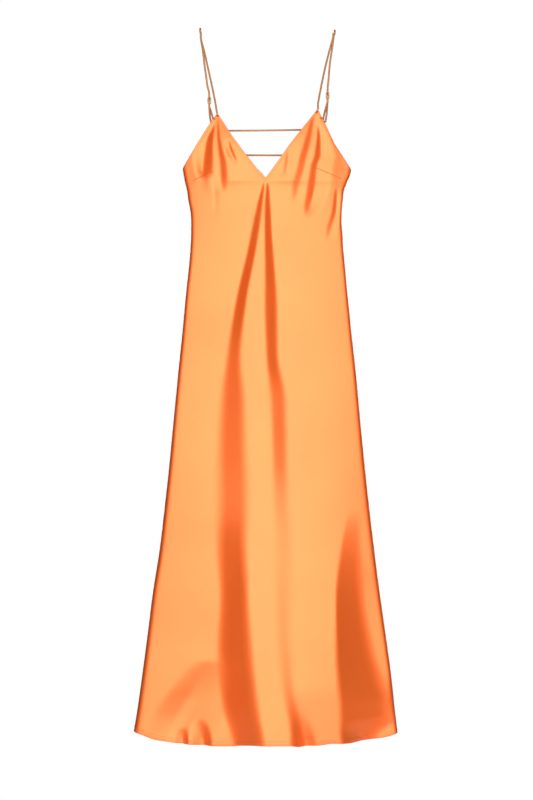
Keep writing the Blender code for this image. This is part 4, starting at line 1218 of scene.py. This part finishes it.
def string_path(left_height, right_height, sag):
    left = open_edge_x(left_height, False) - SEWN_IN
    right = open_edge_x(right_height, True) + SEWN_IN
    part = np.linspace(0.0, 1.0, STRING_POINTS)
    start = float(back_y(left_height, left)) - STRING_INSIDE
    end = float(back_y(right_height, right)) - STRING_INSIDE
    return np.column_stack((
        left + part * (right - left), start + part * (end - start),
        left_height + part * (right_height - left_height) - sag * 4.0 * part * (1.0 - part),
    ))


LOOP_FOOT = -0.2020
ARCH_POINTS = 17


def loop_path(ring_centre):
    x, y, height = ring_centre
    reach = RING_WIRE + LOOP_RADIUS + CLEARANCE
    angle = np.linspace(0.0, math.pi, ARCH_POINTS)
    arch = np.column_stack((
        x - reach * np.cos(angle), np.full(ARCH_POINTS, y),
        height - RING_RADIUS + reach * np.sin(angle),
    ))
    return np.vstack(([(x - reach, y, LOOP_FOOT)], arch, [(x + reach, y, LOOP_FOOT)]))


def rouleau(name, path, radius):
    # Strings and loops take the same darkened cord finish, painted shade.
    values = {"Radius": radius, "Finish": satin_cord}
    return run_tree(path_object(name, [path]), rouleau_tree, values)


upper_string = rouleau("upper_string", string_path(-0.2030, -0.2003, 0.0010), STRING_RADIUS)
lower_string = rouleau("lower_string", string_path(-0.2516, -0.2516, 0.0013), STRING_RADIUS)
left_loop = rouleau("left_loop", loop_path(LEFT_RING), LOOP_RADIUS)
right_loop = rouleau("right_loop", loop_path(RIGHT_RING), LOOP_RADIUS)
cords = (upper_string, lower_string, left_loop, right_loop)
print("strings and loops:", sum(len(cord.data.polygons) for cord in cords))

# %% [markdown]
# ## Rings and sliders
# The ring is a round wire that stands edge-on to the front, held between the strap
# and the loop. The slider is a flat plate with two slots and three bars, like a
# figure 8. Its plate is built as a grid of cells with two left open, then a Bevel
# modifier rounds every edge, as a cast and tumbled fitting has.

# %% Metal fittings
RING_STEPS = 40
WIRE_SIDES = 12
EDGE_ROUNDING = 0.00032


def wire_ring(name, centre):
    build = bmesh.new()
    loops = []
    for step in range(RING_STEPS):
        angle = 2.0 * math.pi * step / RING_STEPS
        way = Vector((0.0, math.cos(angle), math.sin(angle)))
        loop = []
        for side in range(WIRE_SIDES):
            turn = 2.0 * math.pi * side / WIRE_SIDES
            reach = RING_RADIUS + RING_WIRE * math.cos(turn)
            loop.append(build.verts.new(
                Vector(centre) + way * reach + X_WAY * RING_WIRE * math.sin(turn)
            ))
        loops.append(loop)
    skin(build, loops, True, True)
    return add_piece(name, smooth_mesh(build, name), metal)


def strap_slider(name, centre):
    half_width = 0.5 * SLIDER_WIDTH
    half_height = 0.5 * SLIDER_HEIGHT
    half_bar = 0.5 * SLIDER_BAR
    xs = (-half_width, -half_width + SLIDER_BAR, half_width - SLIDER_BAR, half_width)
    heights = (
        -half_height, -half_height + SLIDER_BAR, -half_bar,
        half_bar, half_height - SLIDER_BAR, half_height,
    )
    build = bmesh.new()
    face_verts = {}
    for i, x in enumerate(xs):
        for j, height in enumerate(heights):
            face_verts[i, j] = build.verts.new(centre + Vector((x, -half_bar, height)))
    plate = []
    for i, j in ((i, j) for i in range(3) for j in range(5) if (i, j) not in ((1, 1), (1, 3))):
        corners = ((i, j), (i + 1, j), (i + 1, j + 1), (i, j + 1))
        plate.append(build.faces.new([face_verts[corner] for corner in corners]))
    walls = bmesh.ops.extrude_face_region(build, geom=plate)
    moved = [item for item in walls["geom"] if isinstance(item, bmesh.types.BMVert)]
    bmesh.ops.translate(build, vec=(0.0, SLIDER_BAR, 0.0), verts=moved)
    piece = add_piece(name, smooth_mesh(build, name), metal)
    bevel = piece.modifiers.new("tumbled_edges", "BEVEL")
    bevel.width = EDGE_ROUNDING
    bevel.segments = 3
    bevel.limit_method = "ANGLE"
    apply_modifiers(piece)
    piece.data.shade_smooth()
    return piece


left_ring = wire_ring("left_ring", LEFT_RING)
right_ring = wire_ring("right_ring", RIGHT_RING)
left_slider = strap_slider("left_slider", left_slider_at)
right_slider = strap_slider("right_slider", right_slider_at)
print("sliders at", [round(v, 4) for v in left_slider_at], [round(v, 4) for v in right_slider_at])

# %% [markdown]
# ## Floor and light
# The dress hangs well above a plain pale floor. One very large soft light behind the
# camera fills every surface that faces it, and two dimmer ones stand at the sides,
# so each flank of a fold darkens as it turns away. That contrast is what makes satin
# read as satin. A fourth lights the back. The world is white to the camera and almost
# dark to the cloth.

# %% Studio
FLOOR_RADIUS = 3.0
FLOOR_HEIGHT = -2.15
floor_mesh = bpy.data.meshes.new("studio_floor")
build = bmesh.new()
bmesh.ops.create_circle(build, cap_ends=True, segments=96, radius=FLOOR_RADIUS)
bmesh.ops.translate(build, vec=(0.0, 0.0, FLOOR_HEIGHT), verts=build.verts)
build.to_mesh(floor_mesh)
build.free()
floor_finish = bpy.data.materials.new("studio_floor")
floor_finish.use_nodes = True
floor_shader = floor_finish.node_tree.nodes["Principled BSDF"]
set_values(floor_shader, {"Base Color": (0.86, 0.86, 0.86, 1.0), "Roughness": 0.9})
floor = add_piece("studio_floor", floor_mesh, floor_finish)


MIDDLE = Vector((0.0, 0.0, -0.75))
# Columns: name, place, width, height, watts.
LIGHTS = (
    ("front_light", (0.0, -4.8, -0.55), 6.0, 6.0, 530.0),
    ("left_light", (-4.6, -1.2, -0.3), 2.0, 3.5, 3.5),
    ("right_light", (4.6, -1.2, -0.3), 2.0, 3.5, 3.5),
    ("rear_light", (0.6, 5.2, 0.2), 4.0, 4.0, 300.0),
)


def soft_light(name, place, width, height, watts):
    data = bpy.data.lights.new(name, "AREA")
    data.shape = "RECTANGLE"
    data.size = width
    data.size_y = height
    data.energy = watts
    light = bpy.data.objects.new(name, data)
    light.location = place
    light.rotation_euler = (MIDDLE - Vector(place)).to_track_quat("-Z", "Y").to_euler()
    light.visible_camera = False
    bpy.context.scene.collection.objects.link(light)


for row in LIGHTS:
    soft_light(*row)

world = bpy.data.worlds.new("studio_air")
bpy.context.scene.world = world
world.use_nodes = True
tree = world.node_tree
air = tree.nodes["Background"]
seen = tree.nodes.new("ShaderNodeLightPath")
blend = tree.nodes.new("ShaderNodeMapRange")
set_values(blend, {"To Min": 0.010, "To Max": 1.0})
link_all(tree, (
    (seen.outputs["Is Camera Ray"], blend.inputs["Value"]),
    (blend.outputs["Result"], air.inputs["Strength"]),
))
air.inputs["Color"].default_value = (1.0, 1.0, 1.0, 1.0)
bpy.context.scene.view_settings.view_transform = "Standard"

# %% [markdown]
# ## Attaching the pieces
# Every piece rides on the one body of this dress, and the solid from model.glb that
# each stands for is hidden. The two panels are sheets of cloth, and the flat size
# printed for each is the rectangle that it was cut from.

# %% Pieces and cut sizes
clothing = {
    front: "front_panel", back: "back_panel",
    left_strap: "strap_left", right_strap: "strap_right",
    left_slider: "slider_left", right_slider: "slider_right",
    left_ring: "ring_left", right_ring: "ring_right",
    left_loop: "ring_loop_left", right_loop: "ring_loop_right",
    upper_string: "back_string_upper", lower_string: "back_string_lower",
}
trims = bands + darts + [front_stitches, back_stitches]
for piece in list(clothing) + trims:
    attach(piece, "root")
for piece, node in clothing.items():
    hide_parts(node)

for name, points in (("front", front_points), ("back", back_points)):
    spread = flat_map(points)
    size = spread.reshape(-1, 2).max(axis=0) - spread.reshape(-1, 2).min(axis=0)
    wide, long = (round(float(value), 3) for value in size)
    print(name, "cut is", wide, "m wide and", long, "m long")
